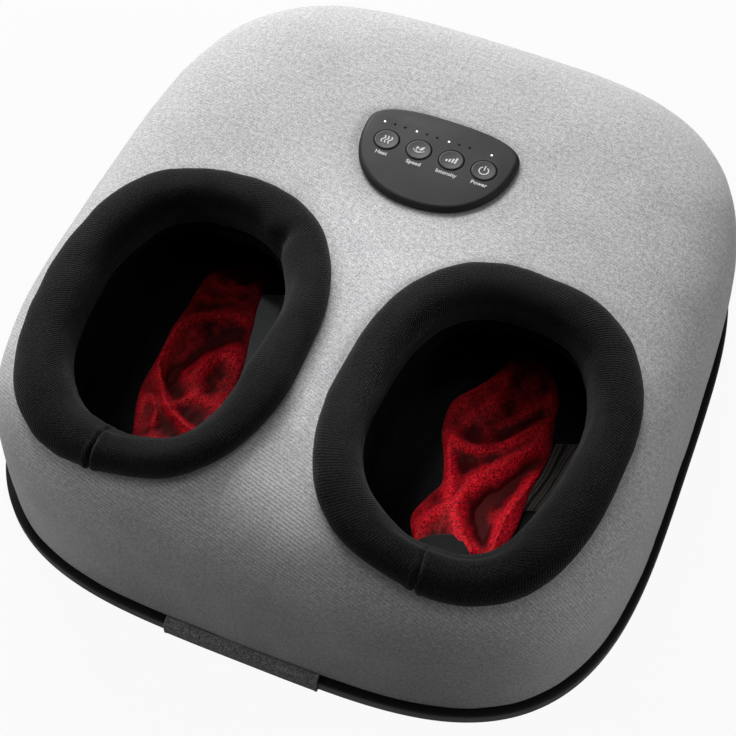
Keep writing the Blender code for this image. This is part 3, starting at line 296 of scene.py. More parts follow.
def thicken(piece, thickness, offset):
    modifier = piece.modifiers.new("wall", "SOLIDIFY")
    modifier.thickness = thickness
    modifier.offset = offset
    return settle(piece)


def sharpen(piece, degrees=32.0):
    piece.data.set_sharp_from_angle(angle=math.radians(degrees))
    return piece


def closed_spline(points, count):
    """Evenly spaced points of a smooth closed curve through some points."""
    points = np.asarray(points, float)
    total = len(points)
    share = np.linspace(0, 1, 24, endpoint=False)[:, None]
    dense = []
    for index in range(total):
        a, b, c, d = (points[(index + shift) % total] for shift in (-1, 0, 1, 2))
        dense.append(0.5 * (2 * b + (c - a) * share + (2 * a - 5 * b + 4 * c - d) * share ** 2
                            + (3 * b - a - 3 * c + d) * share ** 3))
    dense = np.concatenate(dense)
    ring = np.vstack([dense, dense[:1]])
    run = np.concatenate([[0], np.cumsum(np.linalg.norm(np.diff(ring, axis=0), axis=1))])
    at = np.linspace(0, run[-1], count, endpoint=False)
    return np.stack([np.interp(at, run, ring[:, axis]) for axis in range(points.shape[1])], axis=1)


def open_spline(rows, steps):
    """Smooth rows between given rows of points, with steps between each pair."""
    rows = np.asarray(rows, float)
    padded = np.concatenate([2 * rows[:1] - rows[1:2], rows, 2 * rows[-1:] - rows[-2:-1]])
    result = []
    for index in range(len(rows) - 1):
        a, b, c, d = (padded[index + shift] for shift in range(4))
        for step in range(steps):
            t = step / steps
            result.append(0.5 * (2 * b + (c - a) * t + (2 * a - 5 * b + 4 * c - d) * t ** 2
                                 + (3 * b - a - 3 * c + d) * t ** 3))
    result.append(rows[-1])
    return np.array(result)


def rounded(corners, steps, closed=True):
    """Line through corners of (x, y, radius), each rounded by an arc."""
    line = []
    total = len(corners)
    for index, (x, y, radius) in enumerate(corners):
        here = Vector((x, y))
        if radius == 0 or (not closed and index in (0, total - 1)):
            line.append((x, y))
            continue
        before = (Vector(corners[index - 1][:2]) - here).normalized()
        after = (Vector(corners[(index + 1) % total][:2]) - here).normalized()
        half = before.angle(after) / 2
        centre = here + (before + after).normalized() * (radius / math.sin(half))
        first = here + before * (radius / math.tan(half)) - centre
        start = math.atan2(first.y, first.x)
        cross = before.x * after.y - before.y * after.x
        sweep = math.copysign(math.pi - 2 * half, -cross)
        for step in range(steps + 1):
            angle = start + sweep * step / steps
            line.append((centre.x + radius * math.cos(angle), centre.y + radius * math.sin(angle)))
    return line


def lathe(name, profile, steps, place, material, body=HOUSING):
    """Turns a profile of (radius, height) points round Z; its ends lie on the axis or it is a loop."""
    profile = [tuple(point) for point in profile]
    angles = np.arange(steps) * math.tau / steps
    points, rows = [], []
    for radius, height in profile:
        if radius < 1e-7:
            rows.append([len(points)])
            points.append((0.0, 0.0, height))
        else:
            rows.append(list(range(len(points), len(points) + steps)))
            points += [(radius * math.cos(angle), radius * math.sin(angle), height) for angle in angles]
    faces = []
    pairs = list(zip(rows, rows[1:]))
    if len(rows[0]) > 1 and len(rows[-1]) > 1:
        pairs.append((rows[-1], rows[0]))
    for low, high in pairs:
        for step in range(steps):
            following = (step + 1) % steps
            if len(low) == 1:
                faces.append((low[0], high[following], high[step]))
            elif len(high) == 1:
                faces.append((low[step], low[following], high[0]))
            else:
                faces.append((low[step], low[following], high[following], high[step]))
    piece = add_piece(name, points, faces, material, None)
    piece.data.transform(place)
    outward(piece)
    sharpen(piece)
    if body:
        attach(piece, body)
    return piece


def block(name, size, centre):
    """Hidden box for a cut."""
    mesh = bpy.data.meshes.new(name)
    work = bmesh.new()
    bmesh.ops.create_cube(work, size=1.0)
    bmesh.ops.scale(work, verts=work.verts, vec=size)
    bmesh.ops.translate(work, verts=work.verts, vec=centre)
    work.to_mesh(mesh)
    work.free()
    piece = bpy.data.objects.new(name, mesh)
    bpy.context.scene.collection.objects.link(piece)
    return piece


# Materials

class Nodes:
    """Short hand for building a material's node tree."""

    def __init__(self, name, colour, roughness, **constants):
        self.material = bpy.data.materials.new(name)
        self.material.use_nodes = True
        self.tree = self.material.node_tree
        self.shader = self.tree.nodes["Principled BSDF"]
        self.shader.inputs["Base Color"].default_value = (*colour, 1.0)
        self.shader.inputs["Roughness"].default_value = roughness
        for key, value in constants.items():
            self.shader.inputs[key.replace("_", " ")].default_value = value
        self.place = self.tree.nodes.new("ShaderNodeTexCoord").outputs["Object"]

    def link(self, value, socket):
        if isinstance(value, bpy.types.NodeSocket):
            self.tree.links.new(value, socket)
        elif value is not None:
            socket.default_value = value

    def weave_place(self):
        node = self.tree.nodes.new("ShaderNodeUVMap")
        node.uv_map = "weave"
        self.place = node.outputs["UV"]

    def noise(self, size, detail=2.0, rough=0.5, stretch=(1, 1, 1), place=None, distortion=0.0):
        mapping = self.tree.nodes.new("ShaderNodeMapping")
        mapping.inputs["Scale"].default_value = [1 / size / value for value in stretch]
        self.link(place or self.place, mapping.inputs["Vector"])
        node = self.tree.nodes.new("ShaderNodeTexNoise")
        node.inputs["Scale"].default_value = 1.0
        node.inputs["Detail"].default_value = detail
        node.inputs["Roughness"].default_value = rough
        node.inputs["Distortion"].default_value = distortion
        self.link(mapping.outputs["Vector"], node.inputs["Vector"])
        return node.outputs["Fac"]

    def wave(self, pitch, turn=0.0, distortion=0.0, place=None, detail=1.0, detail_scale=1.0):
        mapping = self.tree.nodes.new("ShaderNodeMapping")
        mapping.inputs["Rotation"].default_value = (0, 0, turn)
        self.link(place or self.place, mapping.inputs["Vector"])
        node = self.tree.nodes.new("ShaderNodeTexWave")
        node.wave_type = "BANDS"
        node.bands_direction = "X"
        node.inputs["Scale"].default_value = math.tau / 20 / pitch
        node.inputs["Distortion"].default_value = distortion
        node.inputs["Detail"].default_value = detail
        node.inputs["Detail Scale"].default_value = detail_scale
        self.link(mapping.outputs["Vector"], node.inputs["Vector"])
        return node.outputs["Fac"]

    def ramp(self, value, low, high, start=0.0, end=1.0):
        node = self.tree.nodes.new("ShaderNodeMapRange")
        node.inputs["From Min"].default_value = low
        node.inputs["From Max"].default_value = high
        node.inputs["To Min"].default_value = start
        node.inputs["To Max"].default_value = end
        self.link(value, node.inputs["Value"])
        return node.outputs["Result"]

    def math(self, operation, first, second=None):
        node = self.tree.nodes.new("ShaderNodeMath")
        node.operation = operation
        self.link(first, node.inputs[0])
        self.link(second, node.inputs[1])
        return node.outputs[0]

    def blend(self, share, first, second):
        node = self.tree.nodes.new("ShaderNodeMix")
        node.data_type = "RGBA"
        self.link(share, node.inputs["Factor"])
        for value, name in ((first, "A"), (second, "B")):
            socket = [item for item in node.inputs if item.name == name and item.type == "RGBA"][0]
            self.link((*value, 1.0) if isinstance(value, tuple) else value, socket)
        return [item for item in node.outputs if item.type == "RGBA"][0]

    def shade(self):
        # the piece's share of painted shade
        node = self.tree.nodes.new("ShaderNodeAttribute")
        node.attribute_name = "shade"
        return node.outputs["Fac"]

    def bump(self, height, distance, strength=1.0, before=None):
        node = self.tree.nodes.new("ShaderNodeBump")
        node.inputs["Distance"].default_value = distance
        node.inputs["Strength"].default_value = strength
        self.link(height, node.inputs["Height"])
        if before is not None:
            self.link(before, node.inputs["Normal"])
        return node.outputs["Normal"]

    def finish(self, colour=None, roughness=None, normal=None):
        if colour is not None:
            self.link(colour, self.shader.inputs["Base Color"])
        if roughness is not None:
            self.link(roughness, self.shader.inputs["Roughness"])
        if normal is not None:
            self.link(normal, self.shader.inputs["Normal"])
        return self.material


def knit_material(name, light, dark, rib=0.50):
    """Heather jersey: slanted rows of small stitches in mixed light and dark yarn."""
    made = Nodes(name, light, 0.95, Sheen_Weight=0.22, Sheen_Roughness=0.6, Specular_IOR_Level=0.12)
    made.weave_place()
    drift = made.noise(0.016, 2.0)
    patch = made.noise(0.050, 3.0, 0.6)
    rows = made.wave(0.00205, math.radians(106.0), 1.0, detail=2.0, detail_scale=2.5)
    columns = made.wave(0.0013, math.radians(16.0), 1.6, detail=2.0, detail_scale=2.0)
    yarn = made.noise(0.00105, 3.0, 0.75)
    tuft = made.noise(0.0028, 2.0, 0.65)
    stitch = made.math("ADD", made.math("MULTIPLY", rows, 0.65), made.math("MULTIPLY", columns, 0.35))
    ribbed = made.math("MULTIPLY", stitch, made.ramp(patch, 0.38, 0.64, 0.55, 1.15))
    # painted shade of the ribs: their contrast follows the piece's shade share
    ribbed = made.math("MULTIPLY", ribbed, made.shade())
    speckle = made.ramp(made.math("ADD", made.math("MULTIPLY", yarn, 0.70), made.math("MULTIPLY", tuft, 0.30)),
                        0.40, 0.62)
    share = made.math("ADD", made.math("MULTIPLY", speckle, 0.60), made.math("MULTIPLY", ribbed, rib))
    share = made.math("ADD", share, made.math("MULTIPLY", drift, 0.13))
    colour = made.blend(share, dark, light)
    height = made.math("ADD", made.math("MULTIPLY", ribbed, 0.42), made.math("MULTIPLY", yarn, 0.6))
    return made.finish(colour, None, made.bump(height, 0.00045, 0.75))


def neoprene_material():
    """Matt black knit over foam, with a fine brushed face."""
    made = Nodes("black_neoprene_cloth", (0.006, 0.006, 0.0065), 0.9, Sheen_Weight=0.12, Sheen_Roughness=0.42,
                 Specular_IOR_Level=0.10)
    made.weave_place()
    rows = made.wave(0.0016, math.radians(20.0), 1.4, detail=2.0, detail_scale=2.0)
    columns = made.wave(0.0013, math.radians(-66.0), 1.6, detail=2.0, detail_scale=2.0)
    fuzz = made.noise(0.0014, 3.0, 0.8)
    worn = made.noise(0.035, 3.0)
    stitch = made.math("ADD", made.math("MULTIPLY", rows, 0.6), made.math("MULTIPLY", columns, 0.4))
    share = made.math("ADD", made.math("MULTIPLY", fuzz, 0.75), made.math("MULTIPLY", worn, 0.25))
    colour = made.blend(made.ramp(share, 0.40, 0.60), (0.0006, 0.0006, 0.0007), (0.0128, 0.0128, 0.0134))
    # painted shade: near black where the piece's shade share is low, on the rolls' inner sides
    colour = made.blend(made.shade(), (0.0006, 0.0006, 0.00065), colour)
    height = made.math("ADD", made.math("MULTIPLY", stitch, 0.6), fuzz)
    return made.finish(colour, made.ramp(worn, 0.3, 0.7, 0.84, 0.97), made.bump(height, 0.00070, 1.0))


def pocket_material():
    """Thin matt black lining with a fine rib."""
    made = Nodes("black_lining_cloth", (0.003, 0.003, 0.003), 0.9, Sheen_Weight=0.02, Specular_IOR_Level=0.08)
    made.weave_place()
    ribs = made.wave(0.0016, math.radians(18.0), 0.6, detail=1.0)
    fuzz = made.noise(0.0011, 3.0, 0.65)
    shade = made.noise(0.030, 2.0)
    colour = made.blend(made.ramp(shade, 0.35, 0.65), (0.0014, 0.0014, 0.0015), (0.0034, 0.0034, 0.0036))
    height = made.math("ADD", made.math("MULTIPLY", ribs, 0.5), fuzz)
    return made.finish(colour, made.ramp(fuzz, 0.3, 0.7, 0.78, 0.97), made.bump(height, 0.0003, 0.7))


def patch_material(name, tone):
    """Smooth dark grey cloth of the patches on the pockets' walls."""
    made = Nodes(name, (0.028 * tone, 0.030 * tone, 0.031 * tone), 0.88, Sheen_Weight=0.05, Specular_IOR_Level=0.15)
    made.weave_place()
    fuzz = made.noise(0.0010, 3.0, 0.7)
    shade = made.noise(0.020, 2.0)
    colour = made.blend(made.ramp(fuzz, 0.3, 0.7), (0.016 * tone, 0.017 * tone, 0.018 * tone),
                        (0.034 * tone, 0.036 * tone, 0.037 * tone))
    return made.finish(colour, made.ramp(shade, 0.3, 0.7, 0.80, 0.95), made.bump(fuzz, 0.0003, 0.7))


def mesh_material():
    """Dark spacer mesh with a fine rib along it."""
    made = Nodes("black_spacer_mesh", (0.010, 0.010, 0.010), 0.8, Sheen_Weight=0.04, Specular_IOR_Level=0.18)
    made.weave_place()
    ribs = made.wave(0.0021, 0.0, 0.3, detail=1.0)
    holes = made.wave(0.0015, math.pi / 2, 0.4, detail=1.0)
    lattice = made.math("ADD", made.math("MULTIPLY", ribs, 0.65), made.math("MULTIPLY", holes, 0.35))
    colour = made.blend(made.ramp(lattice, 0.30, 0.70), (0.0020, 0.0018, 0.0016), (0.034, 0.030, 0.027))
    return made.finish(colour, None, made.bump(lattice, 0.0005, 0.9))


def satin_material():
    """Crushed red satin, whose threads' glints are painted into its colour one by one as bright specks, with painted
    shade in its folds.
    """
    made = Nodes("red_satin_cloth", (0.32, 0.008, 0.014), 0.5, Sheen_Weight=0.10, Sheen_Roughness=0.35,
                 Sheen_Tint=(1.0, 0.16, 0.16, 1.0), Specular_IOR_Level=0.20, Specular_Tint=(1.0, 0.30, 0.28, 1.0))
    made.weave_place()
    glint = made.noise(0.00085, 2.0, 0.75)
    thread = made.noise(0.0013, 2.0, 0.7, stretch=(1, 2.0, 1))
    broad = made.noise(0.020, 3.0, 0.6)
    painted_glint = made.math("ADD", made.math("MULTIPLY", glint, 0.65), made.math("MULTIPLY", thread, 0.35))
    # painted glints: bright red specks in the colour stand in for the threads' highlights
    colour = made.blend(made.ramp(painted_glint, 0.42, 0.62), (0.040, 0.0005, 0.0014), (0.72, 0.012, 0.024))
    # painted shade: darker where the piece's shade share is low, in the folds' valleys and toward the toes
    colour = made.blend(made.shade(), (0.010, 0.0001, 0.0003), colour)
    rough = made.math("ADD", made.ramp(glint, 0.3, 0.7, 0.36, 0.62), made.ramp(broad, 0.3, 0.7, -0.05, 0.06))
    return made.finish(colour, rough, made.bump(painted_glint, 0.0006, 0.9))


def moulded(name, colour, roughness, grain=0.0006, depth=0.00006, lift=1.35, **constants):
    """Moulded plastic or rubber with a spark-eroded grain, slightly uneven in tone and polish."""
    made = Nodes(name, colour, roughness, **constants)
    fine = made.noise(grain, 3.0, 0.6)
    broad = made.noise(0.030, 3.0, 0.55)
    brighter = tuple(min(1.0, value * lift) for value in colour)
    tone = made.blend(made.ramp(broad, 0.3, 0.7), colour, brighter)
    rough = made.math("ADD", made.ramp(broad, 0.3, 0.7, roughness - 0.05, roughness + 0.05),
                      made.ramp(fine, 0.3, 0.7, -0.03, 0.03))
    return made.finish(tone, rough, made.bump(fine, depth, 0.6))


def brushed(name, colour, roughness):
    """Drawn or turned metal."""
    made = Nodes(name, colour, roughness, Metallic=1.0, Anisotropic=0.4)
    lines = made.noise(0.0005, 2.0, 0.6, stretch=(1, 14, 14))
    stain = made.noise(0.018, 3.0, 0.6)
    tone = made.blend(made.ramp(stain, 0.3, 0.7), colour, tuple(value * 0.8 for value in colour))
    return made.finish(tone, made.ramp(lines, 0.3, 0.7, roughness - 0.06, roughness + 0.12),
                       made.bump(lines, 0.00003, 0.5))


def board_material():
    """Green circuit board with paler tracks."""
    made = Nodes("circuit_board_green", (0.015, 0.10, 0.045), 0.4)
    tracks = made.math("MULTIPLY", made.ramp(made.wave(0.0022, 0.0, 1.5), 0.55, 0.62),
                       made.ramp(made.noise(0.006, 1.0), 0.48, 0.52))
    tone = made.blend(tracks, (0.012, 0.085, 0.038), (0.05, 0.24, 0.11))
    return made.finish(tone, made.ramp(tracks, 0, 1, 0.35, 0.5), made.bump(tracks, 0.00005, 0.5))


def film(name, colour, roughness, **constants):
    """Welded plastic film with soft crinkles."""
    made = Nodes(name, colour, roughness, **constants)
    crinkle = made.noise(0.006, 4.0, 0.6, distortion=0.8)
    tone = made.blend(made.ramp(crinkle, 0.35, 0.65), tuple(value * 0.8 for value in colour), colour)
    return made.finish(tone, made.ramp(crinkle, 0.3, 0.7, roughness - 0.08, roughness + 0.10),
                       made.bump(crinkle, 0.0005, 0.5))


grey_knit = knit_material("grey_heather_knit", (0.80, 0.80, 0.805), (0.22, 0.22, 0.225))
# painted shade: the tab is the cover's grey knit, given darker colours
shaded_tab_knit = knit_material("grey_tab_knit", (0.66, 0.66, 0.67), (0.035, 0.035, 0.036), 0.0)
neoprene = neoprene_material()
pocket_cloth = pocket_material()
# partly painted light: the patch's grey is its own, made paler to stand in for light falling on it
lit_patch_cloth = patch_material("grey_patch_cloth", 2.6)
fold_cloth = patch_material("dark_fold_cloth", 0.35)
spacer_mesh = mesh_material()
satin = satin_material()
panel_plastic = moulded("panel_satin_plastic", (0.0078, 0.0080, 0.0086), 0.60, 0.0009, 0.00010, 1.12,
                        Specular_IOR_Level=0.28)
button_plastic = moulded("button_satin_plastic", (0.011, 0.011, 0.012), 0.50, 0.0008, 0.00006, 1.3,
                         Specular_IOR_Level=0.35)
rim_plastic = moulded("black_grained_plastic", (0.0035, 0.0035, 0.0038), 0.72, 0.0009, 0.00014,
                      Specular_IOR_Level=0.22)
print_white = moulded("printed_white", (0.46, 0.47, 0.48), 0.55)
lamp_dark = moulded("unlit_lamp", (0.0008, 0.0008, 0.0008), 0.85, Specular_IOR_Level=0.1)
lamp_white = Nodes("lit_lamp", (0.9, 0.92, 0.95), 0.3, Emission_Color=(0.92, 0.95, 1.0, 1.0), Emission_Strength=1.6)
lamp_white = lamp_white.finish(None, lamp_white.ramp(lamp_white.noise(0.0008), 0.3, 0.7, 0.2, 0.4))
rubber = moulded("black_foot_rubber", (0.012, 0.012, 0.012), 0.85, 0.0009, 0.0001)

CAD_FINISHES = {
    "shell_plastic": moulded("grey_shell_plastic", (0.25, 0.25, 0.26), 0.55),
    "frame_plastic": moulded("dark_frame_plastic", (0.08, 0.08, 0.09), 0.55),
    "steel": brushed("turned_steel", (0.56, 0.56, 0.57), 0.30),
    "motor_steel": brushed("plated_motor_steel", (0.48, 0.48, 0.47), 0.36),
    "gear_plastic": moulded("white_gear_plastic", (0.74, 0.74, 0.70), 0.42, 0.0009),
    "disc_plastic": moulded("dark_disc_plastic", (0.10, 0.10, 0.11), 0.50),
    "silicone": moulded("dull_silicone", (0.50, 0.11, 0.09), 0.62, 0.0010),
    "circuit_board": board_material(),
    "airbag_film": film("clear_airbag_film", (0.30, 0.31, 0.33), 0.40, Alpha=1.0),
    "heater_film": film("amber_heater_film", (0.45, 0.24, 0.05), 0.50),
    "hose_tube": film("pale_hose_tube", (0.68, 0.69, 0.70), 0.35),
    "pump_plastic": moulded("black_pump_plastic", (0.020, 0.020, 0.022), 0.50),
    "black_plastic": rim_plastic,
    "black_rubber": rubber,
    "panel_plastic": panel_plastic,
    "button_plastic": button_plastic,
    "inlet_plastic": moulded("black_inlet_plastic", (0.012, 0.012, 0.012), 0.40),
    "light_guide": moulded("clear_light_guide", (0.80, 0.82, 0.85), 0.20),
}


def dress_nodes():
    """Gives each CAD node that stays its finish, by the record's slots."""
    for entry in frame["record"]["subparts"]:
        finish = CAD_FINISHES.get(entry["material_slot"])
        if finish is not None:
            nodes[entry["node"]].data.materials.clear()
            nodes[entry["node"]].data.materials.append(finish)


# Hood cover

def panel_matrix():
    point = Vector(over_hood(np.array(panel_shift), np.array(panel_back), np.array(0.0)))
    ahead = Vector(over_hood(np.array(panel_shift), np.array(panel_back + 0.020), np.array(0.0))) - point
    out = Vector(over_hood(np.array(panel_shift), np.array(panel_back), np.array(1.0))) - point
    across = ahead.cross(out).normalized()
    along = out.cross(across).normalized()
    turned = Matrix((across, along, out.normalized())).transposed().to_4x4()
    return Matrix.Translation(point) @ turned


PANEL = panel_matrix()


def panel_outline(steps=360):
    angles = np.arange(steps) * math.tau / steps
    front = np.sin(angles) < 0
    depth = np.where(front, panel_widest - panel_front, panel_rear - panel_widest)
    power = np.where(front, panel_front_power, panel_rear_power)
    x = panel_half_width * sized(np.cos(angles), 2 / power)
    return np.stack([x, panel_widest + depth * sized(np.sin(angles), 2 / power)], axis=1)


def even_ring(line, count):
    """Closed line again, with evenly spaced points."""
    ring = np.vstack([line, line[:1]])
    run = np.concatenate([[0], np.cumsum(np.linalg.norm(np.diff(ring, axis=0), axis=1))])
    at = np.linspace(0, run[-1], count, endpoint=False)
    return np.stack([np.interp(at, run, ring[:, axis]) for axis in range(2)], axis=1)


def ring_normals(ring):
    along = np.roll(ring, -1, axis=0) - np.roll(ring, 1, axis=0)
    along /= np.linalg.norm(along, axis=1, keepdims=True)
    return np.stack([along[:, 1], -along[:, 0]], axis=1)


def panel_distance(x, y):
    """Distance of plan points outside the panel's outline, negative inside."""
    outline = even_ring(panel_outline(), 180)
    points = np.stack([x.ravel() - panel_shift, y.ravel() - panel_back], axis=1)
    result = np.full(len(points), 1.0)
    near = (np.abs(points[:, 0]) < 0.075) & (np.abs(points[:, 1]) < 0.060)
    chosen = points[near]
    normals = ring_normals(outline)
    gaps = chosen[:, None, :] - outline[None, :, :]
    lengths = np.linalg.norm(gaps, axis=2)
    best = lengths.argmin(axis=1)
    rows = np.arange(len(chosen))
    sign = np.sign((gaps[rows, best] * normals[best]).sum(axis=1))
    result[near] = lengths[rows, best] * np.where(sign == 0, 1, sign)
    return result.reshape(x.shape)


def make_cover():
    """Padded knit cover: one skin with two foot mouths and the panel's cut-out, its hem turned under."""
    steps = 288
    base = np.arange(steps) * math.tau / steps
    around = base + 0.12 * np.sin(4 * base)
    across, along = np.cos(around), np.sin(around)
    size = (np.abs(across) ** corner_power + np.abs(along) ** corner_power) ** (-1 / corner_power)
    across, along = across * size, along * size
    flat = np.linspace(0.012, 0.80, 76)
    profile = [(share, (1 - share ** shoulder_power) ** (1 / shoulder_power)) for share in flat]
    start = math.atan2(profile[-1][1], profile[-1][0])
    for angle in np.linspace(start, 0.0, 58)[1:]:
        total = math.cos(angle) ** shoulder_power + math.sin(angle) ** shoulder_power
        length = total ** (-1 / shoulder_power)
        profile.append((math.cos(angle) * length, math.sin(angle) * length))
    reach = np.array([item[0] for item in profile])[:, None]
    rise = np.array([item[1] for item in profile])[:, None]
    y = along * reach * half_depth
    x = across * reach * half_width * plan_taper(y)
    z = hem_height + rise * hood_height * crown_share(y)
    points = np.stack([x, y, z], axis=-1)
    normals = hood_normal(points)
    gaps = np.minimum(mouth_offset(-1, x, y), mouth_offset(1, x, y)) - collar_width / 2
    gaps = np.where(rise > 0.5, gaps, 1.0)
    fit = panel_distance(x, y)
    fit = np.where(rise > 0.8, fit, 1.0)
    sink = -0.0011 * np.exp(-(np.maximum(gaps, 0) / 0.0035) ** 2)
    sink += 0.00025 * np.exp(-((gaps - 0.010) / 0.006) ** 2)
    sink += -0.0010 * np.exp(-(np.maximum(fit, 0) / 0.0028) ** 2)
    sink += 0.00025 * np.exp(-((fit - 0.008) / 0.005) ** 2)
    sink += 0.00022 * ripple(points, 0.060, 3) + 0.00010 * ripple(points, 0.022, 4)
    points = points + normals * (sink - 0.0001)[..., None]
    hem = points[-1]
    inwards = -normals[-1]
    curl = [hem + inwards * 0.00025 - np.array((0, 0, 0.0001)),
            hem + inwards * 0.0009 - np.array((0, 0, 0.00015))]
    hem[:, 2] += 0.0007
    grid = np.concatenate([points, np.array(curl)])
    run = np.concatenate([np.zeros((1, steps)), np.cumsum(np.linalg.norm(np.diff(grid, axis=0), axis=2), axis=0)])
    run += np.linalg.norm(grid[0] - grid[0].mean(axis=0), axis=1)[None, :]
    heading = np.stack([x[20] / np.hypot(x[20], y[20]), y[20] / np.hypot(x[20], y[20])], axis=-1)
    uvs = run[..., None] * heading[None]
    rows = len(grid)
    holes = [lambda px, py, side=side: mouth_offset(side, px, py) - cover_cut_offset for side in (-1, 1)]
    holes.append(lambda px, py: panel_distance(px, py) + 0.004)
    gone = np.zeros(grid.shape[:2], bool)
    flat_rows = rise[:, 0] > 0.5
    for hole in holes:
        px, py = grid[..., 0], grid[..., 1]
        value = np.where(np.append(flat_rows, [False, False])[:, None], hole(px, py), 1.0)
        inside = value < 0
        for _ in range(4):
            nudge = 0.0004
            slope_x = (hole(px + nudge, py) - hole(px - nudge, py)) / (2 * nudge)
            slope_y = (hole(px, py + nudge) - hole(px, py - nudge)) / (2 * nudge)
            length = np.maximum(slope_x ** 2 + slope_y ** 2, 0.3)
            near = inside & (value > -0.012)
            value_now = hole(px, py)
            px = np.where(near, px - value_now * slope_x / length, px)
            py = np.where(near, py - value_now * slope_y / length, py)
        moved = inside & (value > -0.012)
        grid[..., 0] = np.where(moved, px, grid[..., 0])
        grid[..., 1] = np.where(moved, py, grid[..., 1])
        gone |= inside
    faces = []
    flags = gone.ravel()
    for face in grid_faces(rows, steps, flip=True):
        if not all(flags[index] for index in face):
            faces.append(face)
    centre = rows * steps
    for step in range(steps):
        faces.append((centre, step, (step + 1) % steps))
    top = grid[0].mean(axis=0)
    all_points = np.vstack([grid.reshape(-1, 3), top])
    all_uvs = np.vstack([uvs.reshape(-1, 2), [[0.0, 0.0]]])
    cover = add_piece("cover_knit", all_points, faces, grey_knit, HOUSING, all_uvs)
    # painted shade of the ribs: their dark bands show most over the front, where grazing light would bring them out
    pull = np.clip((-0.085 - all_points[:, 1]) / 0.075, 0.0, 1.0) * np.clip(1.15 - all_points[:, 0] / 0.13, 0.35, 1.0)
    add_painted_shade(cover, 0.30 + 0.70 * pull)
    work = bmesh.new()
    work.from_mesh(cover.data)
    loose = [vert for vert in work.verts if not vert.link_faces]
    bmesh.ops.delete(work, geom=loose, context="VERTS")
    work.normal_update()
    work.to_mesh(cover.data)
    work.free()
    middle = cover.data.polygons[len(cover.data.polygons) // 2]
    if middle.normal.dot(Vector(middle.center) - Vector((0, 0, 0.05))) < 0:
        cover.data.flip_normals()
    thicken(cover, fabric_thickness, -1.0)
    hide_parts("fabric_cover")
    return cover


# Collars

COLLAR_SECTION = (
    (0.0092, 0.0002), (0.0124, 0.0010), (0.0133, 0.0042), (0.0121, 0.0080), (0.0082, 0.0110),
    (0.0022, 0.0120), (-0.0038, 0.0113), (-0.0088, 0.0084), (-0.0120, 0.0038), (-0.0132, -0.0015),
    (-0.0130, -0.0080), (-0.0119, -0.0136), (-0.0094, -0.0163), (-0.0071, -0.0140), (-0.0063, -0.0080),
    (-0.0061, -0.0025), (-0.0050, 0.0001), (0.0, 0.0001), (0.0050, 0.0001),
)
collar_seam_angle = math.radians(-86.5)
# Uneven places of each collar's inner lip: angle and half spread in degrees, push outwards and how far it sags
LIP_DENTS = {
    "left": ((-112.0, 24.0, 0.0048, 0.0034), (-90.0, 9.0, 0.0022, 0.0010), (-66.0, 12.0, 0.0014, 0.0006),
             (-168.0, 15.0, -0.0026, -0.0004), (162.0, 12.0, 0.0022, 0.0010), (128.0, 5.0, 0.0030, 0.0014),
             (116.0, 7.0, -0.0012, -0.0008)),
    "right": ((-66.0, 26.0, 0.0046, 0.0030), (-90.0, 8.0, 0.0020, 0.0006), (-101.0, 9.0, 0.0010, 0.0010),
              (-22.0, 14.0, -0.0010, 0.0), (14.0, 15.0, 0.0020, 0.0008), (66.0, 12.0, -0.0008, -0.0006)),
}


